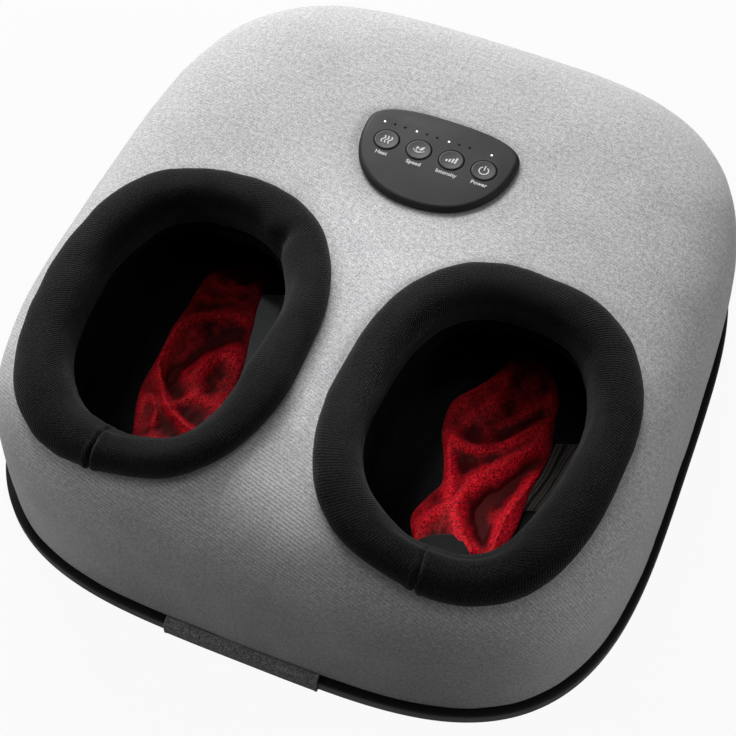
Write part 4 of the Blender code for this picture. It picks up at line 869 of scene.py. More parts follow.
def make_collar(side_name):
    """Stuffed neoprene roll round a mouth, with its sewn heel seam."""
    side = SIDES[side_name]
    seam = collar_seam_angle
    section = closed_spline(COLLAR_SECTION, 46)
    angles = np.arange(230) * math.tau / 230 - math.pi
    fine = seam + np.arange(-14, 15) * 0.0042
    keep = np.abs(angles - seam) > 0.064
    angles = np.sort(np.concatenate([angles[keep], fine]))
    offset = np.repeat(section[None, :, 0], len(angles), axis=0)
    lift = np.repeat(section[None, :, 1], len(angles), axis=0)
    share = angles[:, None]
    plump = 1 + 0.035 * np.sin(2 * share + 0.7 + side) + 0.025 * np.sin(5 * share + side)
    top = np.clip(lift / 0.006, 0, 1)
    lift = np.where(lift > 0.0008, lift * (1 + (plump - 1) * top), lift)
    away = (angles[:, None] - seam) / 0.0084
    skin = np.clip((np.abs(offset + 0.001) - 0.004) / 0.006 + (lift > 0.004), 0, 1)
    groove = np.exp(-away ** 2) * 0.0016 - np.exp(-((np.abs(away) - 3.0) / 1.8) ** 2) * 0.00055
    centre_offset, centre_lift = 0.0, 0.0030
    length = np.maximum(np.hypot(offset - centre_offset, lift - centre_lift), 0.002)
    offset = offset - groove * skin * (offset - centre_offset) / length
    lift = lift - groove * skin * np.where(lift > 0.0008, (lift - centre_lift) / length, 0)
    above = np.clip(lift / 0.003, 0, 1)
    inner = above * np.clip((-offset - 0.0045) / 0.0055, 0, 1)
    inner += (1 - above) * np.clip((-offset - 0.0066) / 0.0062, 0, 1) * np.clip((lift + 0.014) / 0.010, 0, 1)
    crest_share = np.clip((0.004 - offset) / 0.008, 0, 1) * top
    for middle, spread, push, sag in LIP_DENTS[side_name]:
        turn = (np.degrees(share) - middle + 180.0) % 360.0 - 180.0
        dent = np.exp(-(turn / spread) ** 2)
        offset = offset + push * dent * inner
        lift = lift - sag * dent * crest_share
    x, y = mouth_point(side, offset, share)
    points = over_hood(x, y, lift)
    free = np.clip((lift - 0.0006) / 0.004, 0, 1) + np.clip((-0.008 - offset) / 0.003, 0, 1)
    uneven = 0.00042 * ripple(points, 0.045, 11 + side) + 0.00016 * ripple(points, 0.016, 21 + side)
    ahead = np.roll(points, -1, axis=0) - np.roll(points, 1, axis=0)
    roundabout = np.roll(points, -1, axis=1) - np.roll(points, 1, axis=1)
    normals = np.cross(ahead, roundabout)
    normals /= np.maximum(np.linalg.norm(normals, axis=-1, keepdims=True), 1e-9)
    centre = points.mean(axis=1, keepdims=True)
    facing = np.sign((normals * (points - centre)).sum(axis=(1, 2)).mean())
    points = points + normals * facing * (uneven * np.clip(free, 0, 1))[..., None]
    crest = np.vstack([points[:, 10], points[:1, 10]])
    loop = np.vstack([section, section[:1]])
    around = np.concatenate([[0], np.cumsum(np.linalg.norm(np.diff(crest, axis=0), axis=1))])
    over = np.concatenate([[0], np.cumsum(np.linalg.norm(np.diff(loop, axis=0), axis=1))])
    uvs = np.stack(np.meshgrid(around[:-1], over[:-1], indexing="ij"), axis=-1)
    period = (around[-1], over[-1])
    name = f"collar_padding_{side_name}"
    faces = grid_faces(len(angles), len(section), True, True)
    collar = add_piece(name, points, faces, neoprene, HOUSING, uvs, period=period)
    outward(collar)
    # painted shade: the roll's inner side, which faces away from the key lamp, is darkened
    face = np.clip((offset + 0.0125) / 0.0075, 0.0, 1.0) * np.clip((lift + 0.001) / 0.006, 0.0, 1.0)
    add_painted_shade(collar, np.where(offset > 0.0, 1.0, 0.30 + 0.70 * face))
    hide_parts(f"ankle_collar_{side_name}")
    return collar


# Pockets

def pocket_rows(side, columns):
    angles = np.arange(columns) * math.tau / columns
    x, y = mouth_point(side, pocket_rim_offset, angles)
    rows = [over_hood(x, y, np.full(columns, -collar_drop - pocket_seat))]
    for near_reach, near_height, far_reach, far_height, width, power in pocket_station_shares:
        across = pocket_half_width * width * sized(np.cos(angles), 2 / power)
        share = (1 + sized(np.sin(angles), 2 / power)) / 2
        reach = far_reach + (near_reach - far_reach) * share
        height = far_height + (near_height - far_height) * share
        x, y = pocket_plan(side, across, pocket_reach * reach - mouth_back)
        rows.append(np.stack([x, y, sole_height + pocket_room * height], axis=-1))
    return np.array(rows)


def grid_normals(points, outwards_from):
    down = np.gradient(points, axis=0)
    across = np.roll(points, -1, axis=1) - np.roll(points, 1, axis=1)
    normals = np.cross(down, across)
    normals /= np.maximum(np.linalg.norm(normals, axis=-1, keepdims=True), 1e-9)
    facing = np.sign((normals * (points - outwards_from)).sum())
    return normals * facing


def make_pocket(side_name):
    """Cloth pocket with soft folds in its walls."""
    side = SIDES[side_name]
    columns = 132
    points = open_spline(pocket_rows(side, columns), 8)
    centre = points.mean(axis=1, keepdims=True)
    normals = grid_normals(points, centre)
    rows = len(points)
    down = np.linspace(0, 1, rows)[:, None]
    around = np.arange(columns)[None, :] * math.tau / columns
    low = np.clip((points[..., 2] - sole_height - 0.004) / 0.012, 0, 1)
    pleats = np.sin(around * 17 + 2.2 * np.sin(around * 3 + side) + 3 * down) * np.exp(-((down - 0.10) / 0.13) ** 2)
    slack = ripple(points * np.array((1, 1, 0.45)), 0.030, 31 + side)
    fold = 0.0009 * pleats + 0.0008 * slack + 0.0003 * ripple(points, 0.011, 41 + side)
    start = np.clip(down / 0.03, 0, 1)
    points = points - normals * (np.abs(fold) * low * start)[..., None]
    run = np.concatenate([[0], np.cumsum(np.linalg.norm(np.diff(points[:, 0], axis=0), axis=1))])
    girth = np.arange(columns) * 0.34 / columns
    uvs = np.stack(np.meshgrid(run, girth, indexing="ij"), axis=-1)
    faces = grid_faces(rows, columns)
    cap = len(points) * columns
    all_points = np.vstack([points.reshape(-1, 3), points[-1].mean(axis=0)])
    last = (rows - 1) * columns
    faces += [(last + step, last + (step + 1) % columns, cap) for step in range(columns)]
    all_uvs = np.vstack([uvs.reshape(-1, 2), [[run[-1] + 0.02, 0.17]]])
    tree = BVHTree.FromPolygons([tuple(point) for point in all_points], faces)
    pocket = add_piece(f"pocket_cloth_{side_name}", all_points, faces, pocket_cloth, HOUSING,
                       all_uvs, period=(100.0, 0.34))
    outward(pocket)
    middle = pocket.data.polygons[30 * columns]
    inside = Vector(points[30].mean(axis=0))
    if middle.normal.dot(Vector(middle.center) - inside) < 0:
        pocket.data.flip_normals()
    thicken(pocket, pocket_wall, 1.0)
    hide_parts(f"foot_pocket_{side_name}")
    return tree


# Red tongue's edges in each foot's own frame: place along, nearer edge and farther edge from the middle. They follow
# partly sewn edges and partly the edge of the shade over the lining, so the black ground cloth beyond them is partly
# painted shade
TONGUES = {
    "left": ((-0.078, -0.024, 0.010), (-0.060, -0.026, 0.012), (-0.048, -0.027, 0.015), (-0.030, -0.028, 0.021),
             (-0.012, -0.029, 0.0245), (0.006, -0.029, 0.0235), (0.021, -0.028, 0.0235), (0.034, -0.026, 0.0235),
             (0.049, -0.023, 0.0210), (0.064, -0.020, 0.0200), (0.077, -0.019, 0.0180), (0.088, -0.018, 0.0100),
             (0.094, -0.014, 0.0020), (0.0965, -0.008, -0.004)),
    "right": ((-0.078, -0.014, 0.028), (-0.060, -0.014, 0.030), (-0.049, -0.0155, 0.032), (-0.035, -0.0228, 0.0345),
              (-0.019, -0.0196, 0.0348), (-0.007, -0.0160, 0.0340), (0.009, -0.0219, 0.0330),
              (0.023, -0.0295, 0.0335), (0.036, -0.0330, 0.0335), (0.048, -0.0326, 0.0310),
              (0.062, -0.0245, 0.0270), (0.074, -0.0185, 0.0245), (0.086, -0.0150, 0.0180),
              (0.093, -0.0110, 0.0100), (0.0965, -0.0050, 0.0040)),
}

# Folds of each tongue: height (negative for a furrow), half width, and the places (across, along) of its line
SOLE_FOLDS = {
    "left": (
        (0.0050, 0.0036, ((0.0216, 0.0032), (0.0216, 0.0187), (0.0177, 0.0359), (0.0084, 0.0458),
                          (-0.0048, 0.0518), (-0.0174, 0.0536), (-0.030, 0.055))),
        (0.0052, 0.0030, ((0.0206, 0.0061), (0.0140, -0.0069), (0.0046, -0.0212), (-0.0103, -0.0308),
                          (-0.0204, -0.0345), (-0.030, -0.038))),
        (0.0050, 0.0058, ((-0.0051, 0.0025), (-0.0081, 0.0163), (-0.0178, 0.0250), (-0.0300, 0.0232))),
        (0.0030, 0.0020, ((0.0207, -0.0244), (0.0164, -0.0191), (0.0094, -0.0254), (0.0066, -0.0368))),
        (0.0038, 0.0048, ((-0.0011, -0.0192), (-0.0097, -0.0106), (-0.0228, -0.0109), (-0.030, -0.010))),
        (0.0034, 0.0055, ((0.0100, -0.060), (0.0030, -0.048), (-0.012, -0.046), (-0.026, -0.048))),
        (-0.0030, 0.0045, ((0.0121, -0.0036), (0.0063, 0.0086), (0.0004, 0.0211), (-0.0094, 0.0350),
                           (-0.0201, 0.0414))),
        (0.0024, 0.0040, ((0.016, 0.078), (0.006, 0.070), (-0.006, 0.072), (-0.018, 0.080))),
        (0.0020, 0.0030, ((0.019, 0.062), (0.008, 0.060), (-0.010, 0.064))),
    ),
    "right": (
        (0.0056, 0.0030, ((-0.0310, 0.0236), (-0.0158, 0.0200), (-0.0052, 0.0205), (0.0032, 0.0260),
                          (0.0119, 0.0358), (0.0197, 0.0477), (0.0275, 0.0548), (0.0330, 0.060))),
        (0.0062, 0.0062, ((0.0297, 0.0494), (0.0208, 0.0299), (0.0119, 0.0156), (0.0032, 0.0015),
                          (-0.0011, -0.0129), (0.0010, -0.0254), (0.0080, -0.034), (0.0173, -0.042))),
        (0.0044, 0.0036, ((-0.0257, 0.0203), (-0.0182, 0.0062), (-0.0109, -0.0053), (-0.0072, -0.0207),
                          (-0.0126, -0.0320), (-0.0187, -0.0446))),
        (0.0056, 0.0036, ((0.0340, 0.0187), (0.0295, -0.0006), (0.0268, -0.0189), (0.0285, -0.0348),
                          (0.030, -0.050))),
        (-0.0034, 0.0050, ((0.0279, 0.0283), (0.0181, 0.0062), (0.0120, -0.0139), (0.0181, -0.0278),
                           (0.0250, -0.0364))),
        (0.0022, 0.0045, ((-0.0112, 0.0848), (-0.0083, 0.0676), (-0.0144, 0.0515), (-0.020, 0.036))),
        (0.0026, 0.0045, ((0.0154, 0.0842), (0.0181, 0.0723), (0.0120, 0.0589), (0.002, 0.044))),
    ),
}

# Painted shade: share of its colour that each tongue loses per metre toward the toes, where less light comes in
SOLE_TOE_SHADE = {"left": 15.0, "right": 5.0}


def line_distance(points, line):
    best = np.full(points.shape[:-1], 1.0)
    line = open_spline(np.array(line), 6)
    for first, second in zip(line, line[1:]):
        run = second - first
        share = np.clip(((points - first) @ run) / (run @ run), 0, 1)
        best = np.minimum(best, np.linalg.norm(points - first - share[..., None] * run, axis=-1))
    return best


def lay(floor, side, places, height):
    """Points of a cloth grid laid over a pocket's floor."""
    points = np.zeros(places.shape[:2] + (3,))
    for row in range(places.shape[0]):
        for column in range(places.shape[1]):
            x, y = pocket_plan(side, *places[row, column])
            hit = floor.ray_cast(Vector((x, y, sole_height + 0.022)), Vector((0, 0, -1)))
            points[row, column] = (x, y, hit[0].z + height[row, column])
    return points


def make_ground(side_name, floor):
    """Black ground cloth over a pocket's floor: partly a black lining, partly painted shade where the red lining lies
    in shade.
    """
    side = SIDES[side_name]
    rows, columns = 110, 30
    share = np.linspace(0, 1, rows)
    spread = np.linspace(-1, 1, columns)
    along = lining_heel + (lining_toe - lining_heel) * share
    half = lining_half_width * (1 - 0.25 * np.abs(2 * share - 1) ** 4)
    places = np.stack([half[:, None] * spread[None, :], np.repeat(along[:, None], columns, axis=1)], axis=-1)
    flat = np.concatenate([places, np.zeros((rows, columns, 1))], axis=-1)
    height = 0.0004 + 0.00020 * (1.4 + ripple(flat, 0.025, 71 + side)) * (1 - spread[None, :] ** 8)
    points = lay(floor, side, places, np.maximum(height, 0.0004))
    ground = add_piece(f"ground_cloth_and_shade_{side_name}", points, grid_faces(rows, columns, False), pocket_cloth, HOUSING,
                       places)
    if ground.data.polygons[0].normal.z < 0:
        ground.data.flip_normals()
    thicken(ground, 0.0007, 1.0)


def make_sole(side_name, floor):
    """Gathered red satin tongue over a pocket's floor, on its ground cloth, with painted shade in its valleys and
    toward its toes.
    """
    side = SIDES[side_name]
    rows, columns = 236, 92
    outline = np.array(TONGUES[side_name])
    smooth = open_spline(outline, 12)
    length = np.concatenate([[0], np.cumsum(np.linalg.norm(np.diff(smooth, axis=0), axis=1))])
    at = np.linspace(0, length[-1], rows)
    along, near, far = (np.interp(at, length, smooth[:, column]) for column in range(3))
    spread = np.linspace(-1, 1, columns)
    across = (near + far)[:, None] / 2 + (far - near)[:, None] / 2 * spread[None, :]
    places = np.stack([across, np.repeat(along[:, None], columns, axis=1)], axis=-1)
    height = np.full((rows, columns), 0.0024)
    for tall, width, line in SOLE_FOLDS[side_name]:
        gap = line_distance(places, line)
        height += tall * np.exp(-(gap / width / 1.15) ** 1.35)
    flat = np.concatenate([places, np.zeros((rows, columns, 1))], axis=-1)
    height += 0.0007 * (1 + ripple(flat, 0.017, 51 + side)) + 0.00028 * (1 + ripple(flat, 0.0060, 61 + side))
    edge = np.minimum(1 - np.abs(spread[None, :]) ** 10, np.clip((rows - 1 - np.arange(rows))[:, None] / 8, 0, 1))
    height = 0.0021 + np.maximum(height - 0.0021, 0) * edge
    points = lay(floor, side, places, height)
    name = f"satin_sole_{side_name}"
    sole = add_piece(name, points, grid_faces(rows, columns, False), satin, HOUSING, places)
    # painted shade: the folds' valleys are darkened against their blurred surroundings, and the tongue darkens toward
    # the toes
    around = height.copy()
    for _ in range(170):
        around[1:-1] = (around[:-2] + 2 * around[1:-1] + around[2:]) / 4
        around[:, 1:-1] = (around[:, :-2] + 2 * around[:, 1:-1] + around[:, 2:]) / 4
    toe_shade = np.clip(1.0 - (places[..., 1] - 0.035) * SOLE_TOE_SHADE[side_name], 0.25, 1.0)
    add_painted_shade(sole, np.clip(0.46 + (height - around) / 0.0026, 0.03, 1.0) * toe_shade)
    if sole.data.polygons[0].normal.z < 0:
        sole.data.flip_normals()
    thicken(sole, 0.0006, 1.0)
    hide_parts(f"sole_lining_{side_name}")
    return sole


# Pieces on the pockets' walls, by their edges in each foot's own frame where the photograph's view meets the sole
WALL_PATCHES = {
    "wall_patch_left": (((-0.0166, 0.0744), (-0.0375, 0.0820)), ((-0.0171, 0.0681), (-0.0375, 0.0753)),
                        ((-0.0201, 0.0571), (-0.0375, 0.0633)), ((-0.0236, 0.0464), (-0.0375, 0.0513)),
                        ((-0.0260, 0.0354), (-0.0362, 0.0390)), ((-0.0277, 0.0244), (-0.0345, 0.0268)),
                        ((-0.0285, 0.0150), (-0.0325, 0.0165))),
    "mesh_panel_right": (((0.0343, 0.0459), (0.0520, 0.0545)), ((0.0343, 0.0398), (0.0520, 0.0483)),
                         ((0.0347, 0.0325), (0.0500, 0.0397)), ((0.0347, 0.0249), (0.0490, 0.0317)),
                         ((0.0341, 0.0172), (0.0480, 0.0238)), ((0.0319, 0.0087), (0.0480, 0.0164)),
                         ((0.0306, 0.0029), (0.0460, 0.0103)), ((0.0300, -0.0050), (0.0440, 0.0010))),
}
mesh_seam_share = 0.36


def seen(floor, side, places):
    """Points and inward normals on a pocket where the photograph's view meets it above given sole places."""
    points = np.zeros(places.shape[:2] + (3,))
    normals = np.zeros_like(points)
    for row in range(places.shape[0]):
        for column in range(places.shape[1]):
            x, y = pocket_plan(side, *places[row, column])
            target = Vector((x, y, sole_height))
            ahead = (target - CAMERA_PLACE).normalized()
            start = target - ahead * (0.057 / -ahead.z)
            hit = floor.ray_cast(start, ahead)
            if hit[0] is None or (hit[0] - start).length < 0.004:
                hit = floor.find_nearest((start + target) / 2)
            normal = hit[1] if hit[1].dot(ahead) < 0 else -hit[1]
            points[row, column], normals[row, column] = hit[0], normal
    for _ in range(6):
        for field in (points, normals):
            field[1:-1] = (field[:-2] + 2 * field[1:-1] + field[2:]) / 4
            field[:, 1:-1] = (field[:, :-2] + 2 * field[:, 1:-1] + field[:, 2:]) / 4
    normals /= np.linalg.norm(normals, axis=-1, keepdims=True)
    return points, normals


def tube(name, line, radius, material):
    """Thin piping along a line of points."""
    line = np.asarray(line)
    along = np.gradient(line, axis=0)
    along /= np.linalg.norm(along, axis=1, keepdims=True)
    first = np.cross(along, np.array((0.0, 0.0, 1.0)))
    first /= np.linalg.norm(first, axis=1, keepdims=True)
    second = np.cross(along, first)
    turn = np.arange(10) * math.tau / 10
    rings = line[:, None] + radius * (first[:, None] * np.cos(turn)[None, :, None]
                                      + second[:, None] * np.sin(turn)[None, :, None])
    faces = grid_faces(len(line), 10)
    faces += [tuple(range(10))[::-1], tuple((len(line) - 1) * 10 + step for step in range(10))]
    run = np.concatenate([[0], np.cumsum(np.linalg.norm(np.diff(line, axis=0), axis=1))])
    uvs = np.stack(np.meshgrid(run, np.arange(10) * radius * 0.6, indexing="ij"), axis=-1)
    return outward(add_piece(name, rings, faces, material, HOUSING, uvs))


def make_patch(name, side_name, floor, material, lift=0.0018):
    """Sheet sewn to a pocket's wall."""
    side = SIDES[side_name]
    ends = open_spline(np.array([sum(pair, ()) for pair in WALL_PATCHES[name]]), 6)
    share = np.linspace(0, 1, 22)[None, :, None]
    places = ends[:, None, :2] * (1 - share) + ends[:, None, 2:] * share
    points, normals = seen(floor, side, places)
    rows, columns = places.shape[:2]
    soft = 0.00022 * (1 + ripple(points, 0.014, 81 + side))
    points = points + normals * (lift + soft)[..., None]
    run = np.concatenate([[0], np.cumsum(np.linalg.norm(np.diff(points[:, 11], axis=0), axis=1))])
    over = np.concatenate([[0], np.cumsum(np.linalg.norm(np.diff(points[rows // 2], axis=0), axis=1))])
    uvs = np.stack(np.meshgrid(run, over, indexing="ij"), axis=-1)[..., ::-1]
    patch = add_piece(name, points, grid_faces(rows, columns, False), material, HOUSING, uvs)
    middle = rows * columns // 2
    if patch.data.vertices[middle].normal.dot(Vector(normals.reshape(-1, 3)[middle])) < 0:
        patch.data.flip_normals()
    thicken(patch, 0.0005, 1.0)
    return points + normals * 0.0006


def make_wall_pieces(side_name, floor):
    if side_name == "left":
        # its grey cloth is partly painted light
        make_patch("wall_patch_left", "left", floor, lit_patch_cloth)
        return
    face = make_patch("mesh_panel_right", "right", floor, spacer_mesh)
    place = mesh_seam_share * (face.shape[1] - 1)
    seam = face[:, int(place)]
    tube("mesh_panel_seam", seam, 0.0006, pocket_cloth)
    tube("mesh_panel_edge", face[:, -7], 0.0004, pocket_cloth)


def make_heel_fold(floor):
    """The right pocket's black lining bulges up over the satin beside the heel seam."""
    side = SIDES["right"]
    rows, columns = 30, 40
    spread = np.linspace(-1, 1, columns)[None, :]
    down = np.linspace(0, 1, rows)[:, None]
    across = 0.0035 + 0.0165 * spread * (1 - 0.15 * down) + 0.006 * down
    along = -0.0385 - 0.030 * down - 0.0085 * spread ** 2 * (1 - down) + 0.004 * spread
    places = np.stack([across, along], axis=-1)
    height = 0.0070 + 0.0030 * np.sin(np.clip(down * 1.2, 0, 1) * math.pi / 2) * (1 - spread ** 4)
    flat = np.concatenate([places, np.zeros((rows, columns, 1))], axis=-1)
    points = lay(floor, side, places, height + 0.0004 * ripple(flat, 0.012, 91))
    fold = add_piece("heel_fold_right", points, grid_faces(rows, columns, False), fold_cloth, HOUSING,
                     places)
    if fold.data.polygons[0].normal.z < 0:
        fold.data.flip_normals()
    thicken(fold, 0.0007, 1.0)


# Control panel

def button_places():
    middle = (len(light_counts) - 1) / 2
    return {name: (button_pitch * (index - middle), button_back) for index, name in enumerate(light_counts)}


def light_places():
    places = []
    for name, (x, y) in button_places().items():
        count = light_counts[name]
        for index in range(count):
            places.append((name, index, x + (index - (count - 1) / 2) * light_pitch, y + light_back))
    return places


def make_panel():
    """Crowned panel with softly rounded edges, button wells and lamp holes."""
    outline = even_ring(panel_outline(), 150)
    normals = ring_normals(outline)
    edge = rounded([(0.0, 0.0004, 0), (0.0, panel_rise, 0.0034), (-0.020, panel_rise + 0.0001, 0)], 9, False)
    profile = [(-0.0049, panel_rise - panel_plate), (-0.0049, -0.0070), (-0.0037, -0.0070), (-0.0037, 0.0004)]
    profile += [(inset, height) for inset, height in edge[:-1]]
    rings = [np.column_stack([outline + normals * inset, np.full(len(outline), height)])
             for inset, height in profile]
    points = np.concatenate(rings)
    count = len(outline)
    faces = grid_faces(len(rings), count)
    faces.append(tuple(range(count))[::-1])
    faces.append(tuple(range((len(rings) - 1) * count, len(rings) * count)))
    panel = add_piece("panel_face", points, faces, panel_plastic, None)
    panel.data.transform(PANEL)
    outward(panel)
    cutters = []
    for x, y in button_places().values():
        well = [(0.0, -0.001), (button_radius + 0.0003, -0.001), (button_radius + 0.0003, panel_rise - 0.0002),
                (button_radius + 0.0005, panel_rise + 0.0002), (button_radius + 0.0005, panel_rise + 0.002),
                (0.0, panel_rise + 0.002)]
        cutters.append(lathe("well", well, 72, PANEL @ Matrix.Translation((x, y, 0)), None, None))
    for _, _, x, y in light_places():
        hole = [(0.0, -0.001), (0.0008, -0.001), (0.0008, panel_rise + 0.002), (0.0, panel_rise + 0.002)]
        cutters.append(lathe("lamp_hole", hole, 20, PANEL @ Matrix.Translation((x, y, 0)), None, None))
    carve(panel, cutters)
    sharpen(panel, 28.0)
    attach(panel, HOUSING)
    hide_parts("control_panel")


def make_buttons():
    for name, (x, y) in button_places().items():
        top = panel_rise
        profile = [(0.0, top + 0.00015), (0.0030, top + 0.00020), (0.0055, top + 0.00036)]
        profile += rounded([(0.0055, top + 0.00036, 0), (0.0071, top + 0.00052, 0.0010),
                            (button_radius, top - 0.0001, 0.0005), (button_radius, 0.0012, 0)], 5, False)[1:]
        profile += [(0.0, 0.0012)]
        piece = lathe(f"button_cap_{name}", profile, 72, PANEL @ Matrix.Translation((x, y, 0)), button_plastic,
                      f"{name}_button")
        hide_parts(f"button_{name}")


def strip(name, lines, width, lift, place, material, body, thickness=0.00006):
    """Printed strokes: flat ribbons with round ends along lines of (x, y) points."""
    points, faces = [], []
    for line in lines:
        line = np.asarray(line, float)
        along = np.gradient(line, axis=0)
        along /= np.linalg.norm(along, axis=1, keepdims=True)
        side = np.stack([-along[:, 1], along[:, 0]], axis=1) * width / 2
        left, right = line + side, line - side
        cap_angles = np.linspace(0, math.pi, 7)[1:-1]
        tail = [line[0] + side[0] * math.cos(a) - along[0] * width / 2 * math.sin(a) for a in cap_angles]
        head = [line[-1] - side[-1] * math.cos(a) + along[-1] * width / 2 * math.sin(a) for a in cap_angles]
        outline = list(left[::-1]) + tail + list(right) + head
        total = len(outline)
        start = len(points)
        points += [(x, y, lift) for x, y in outline] + [(x, y, lift + thickness) for x, y in outline]
        count = len(line)
        for level, flip in ((0, False), (total, True)):
            for step in range(count - 1):
                face = [start + level + count - 1 - step, start + level + count - 2 - step,
                        start + level + count + len(tail) + step + 1, start + level + count + len(tail) + step]
                faces.append(tuple(face[::-1]) if flip else tuple(face))
            tail_ring = [start + level + count - 1 + step for step in range(len(tail) + 2)]
            head_first = count + len(tail) + count - 1
            head_ring = [start + level + (head_first + step) % total for step in range(len(head) + 2)]
            for ring in (tail_ring, head_ring):
                faces.append(tuple(ring[::-1]) if flip else tuple(ring))
        for step in range(total):
            following = (step + 1) % total
            faces.append((start + step, start + following, start + total + following, start + total + step))
    piece = add_piece(name, points, faces, material, None, smooth=False)
    outward(piece)
    piece.data.transform(place)
    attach(piece, body)
    return piece


def plates(name, outlines, lift, place, material, body, thickness=0.00006):
    """Printed filled shapes."""
    points, faces = [], []
    for outline in outlines:
        start, total = len(points), len(outline)
        points += [(x, y, lift) for x, y in outline] + [(x, y, lift + thickness) for x, y in outline]
        faces.append(tuple(start + index for index in range(total))[::-1])
        faces.append(tuple(start + total + index for index in range(total)))
        faces += [(start + index, start + (index + 1) % total, start + total + (index + 1) % total,
                   start + total + index) for index in range(total)]
    piece = add_piece(name, points, faces, material, None, smooth=False)
    outward(piece)
    piece.data.transform(place)
    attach(piece, body)
    return piece


def make_icons():
    """Generic signs on the buttons: heat waves, a fan, rising bars and the power sign."""
    places = button_places()
    level = panel_rise + 0.00038

    def at(name):
        x, y = places[name]
        return PANEL @ Matrix.Translation((x, y, 0))

    t = np.linspace(-1, 1, 17)
    waves = [np.stack([shift + 0.00055 * np.sin(t * 3.6) + 0.0006 * t, 0.0026 * t], axis=1)
             for shift in (-0.0022, 0.0, 0.0022)]
    strip("heat_sign", waves, 0.00085, level, at("heat"), print_white, "heat_button")
    fan = [[(-0.0004, -0.0004), (0.0026, 0.0006), (0.0031, 0.0032), (0.0014, 0.0024)],
           [(-0.0012, 0.0002), (-0.0001, 0.0014), (-0.0014, 0.0024), (-0.0024, 0.0010)]]
    plates("speed_sign", fan, level, at("speed"), print_white, "speed_button")
    arc = np.linspace(math.radians(200), math.radians(340), 15)
    sweep = [np.stack([0.0036 * np.cos(arc), 0.0010 + 0.0034 * np.sin(arc)], axis=1),
             np.stack([0.0020 * np.cos(arc), 0.0012 + 0.0030 * np.sin(arc)], axis=1)]
    strip("speed_sign_arcs", sweep, 0.0005, level, at("speed"), print_white, "speed_button")
    bars = []
    for index, tall in enumerate((0.0016, 0.0025, 0.0035, 0.0046)):
        x = -0.0028 + index * 0.00185
        lean = 0.10
        low = -0.0020
        bars.append([(x - 0.0006, low), (x + 0.0006, low), (x + 0.0006 + lean * tall, low + tall),
                     (x - 0.0006 + lean * tall, low + tall)])
    plates("intensity_sign", bars, level, at("intensity"), print_white, "intensity_button")
    arc = np.linspace(math.radians(125), math.radians(415), 33)
    ring = np.stack([0.0029 * np.cos(arc), -0.0003 + 0.0029 * np.sin(arc)], axis=1)
    bar = np.array([(0.0, 0.0002), (0.0, 0.0034)])
    strip("power_sign", [ring, bar], 0.00075, level, at("power"), print_white, "power_button")


def make_labels():
    """The generic words under the buttons."""
    size = 0.0039
    for name, (x, y) in button_places().items():
        curve = bpy.data.curves.new(f"{name}_label", "FONT")
        curve.body = name.capitalize()
        curve.size = size
        curve.align_x = "CENTER"
        curve.extrude = 0.00003
        curve.offset = 0.00007
        curve.resolution_u = 3
        words = bpy.data.objects.new(f"{name}_label_words", curve)
        bpy.context.scene.collection.objects.link(words)
        graph = bpy.context.evaluated_depsgraph_get()
        mesh = bpy.data.meshes.new_from_object(words.evaluated_get(graph))
        bpy.data.objects.remove(words)
        mesh.materials.clear()
        mesh.materials.append(print_white)
        piece = bpy.data.objects.new(f"{name}_label", mesh)
        bpy.context.scene.collection.objects.link(piece)
        mesh.transform(PANEL @ Matrix.Translation((x + 0.0006, y - button_radius - 0.0040,
                                                   panel_rise + 0.00005)))
        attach(piece, HOUSING)


def make_lamps():
    runner = None
    for name, index, x, y in light_places():
        lit = index == 0
        profile = [(0.0, panel_rise - 0.00002), (0.00045, panel_rise - 0.00012), (0.00062, panel_rise - 0.0004),
                   (0.00062, 0.0004), (0.0, 0.0004)]
        if lit:
            profile = [(0.0, panel_rise + 0.0002), (0.00045, panel_rise + 0.0001), (0.00072, panel_rise - 0.0003),
                       (0.00072, 0.0004), (0.0, 0.0004)]
        piece = lathe(f"lamp_{name}_{index + 1}", profile, 20, PANEL @ Matrix.Translation((x, y, 0)),
                      lamp_white if lit else lamp_dark, HOUSING)
        runner = runner or piece
    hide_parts("led_light_guide")


# Base, feet, inlet and tab

def base_ring(inset, height, steps=288):
    base = np.arange(steps) * math.tau / steps
    around = base + 0.12 * np.sin(4 * base)
    across, along = np.cos(around), np.sin(around)
    size = (np.abs(across) ** corner_power + np.abs(along) ** corner_power) ** (-1 / corner_power)
    y = along * size * half_depth
    x = across * size * half_width * plan_taper(y)
    points = np.stack([x, y, np.full_like(x, hem_height)], axis=-1)
    points = points + hood_normal(points) * (rim_overhang - inset)
    points[:, 2] = height
    return points


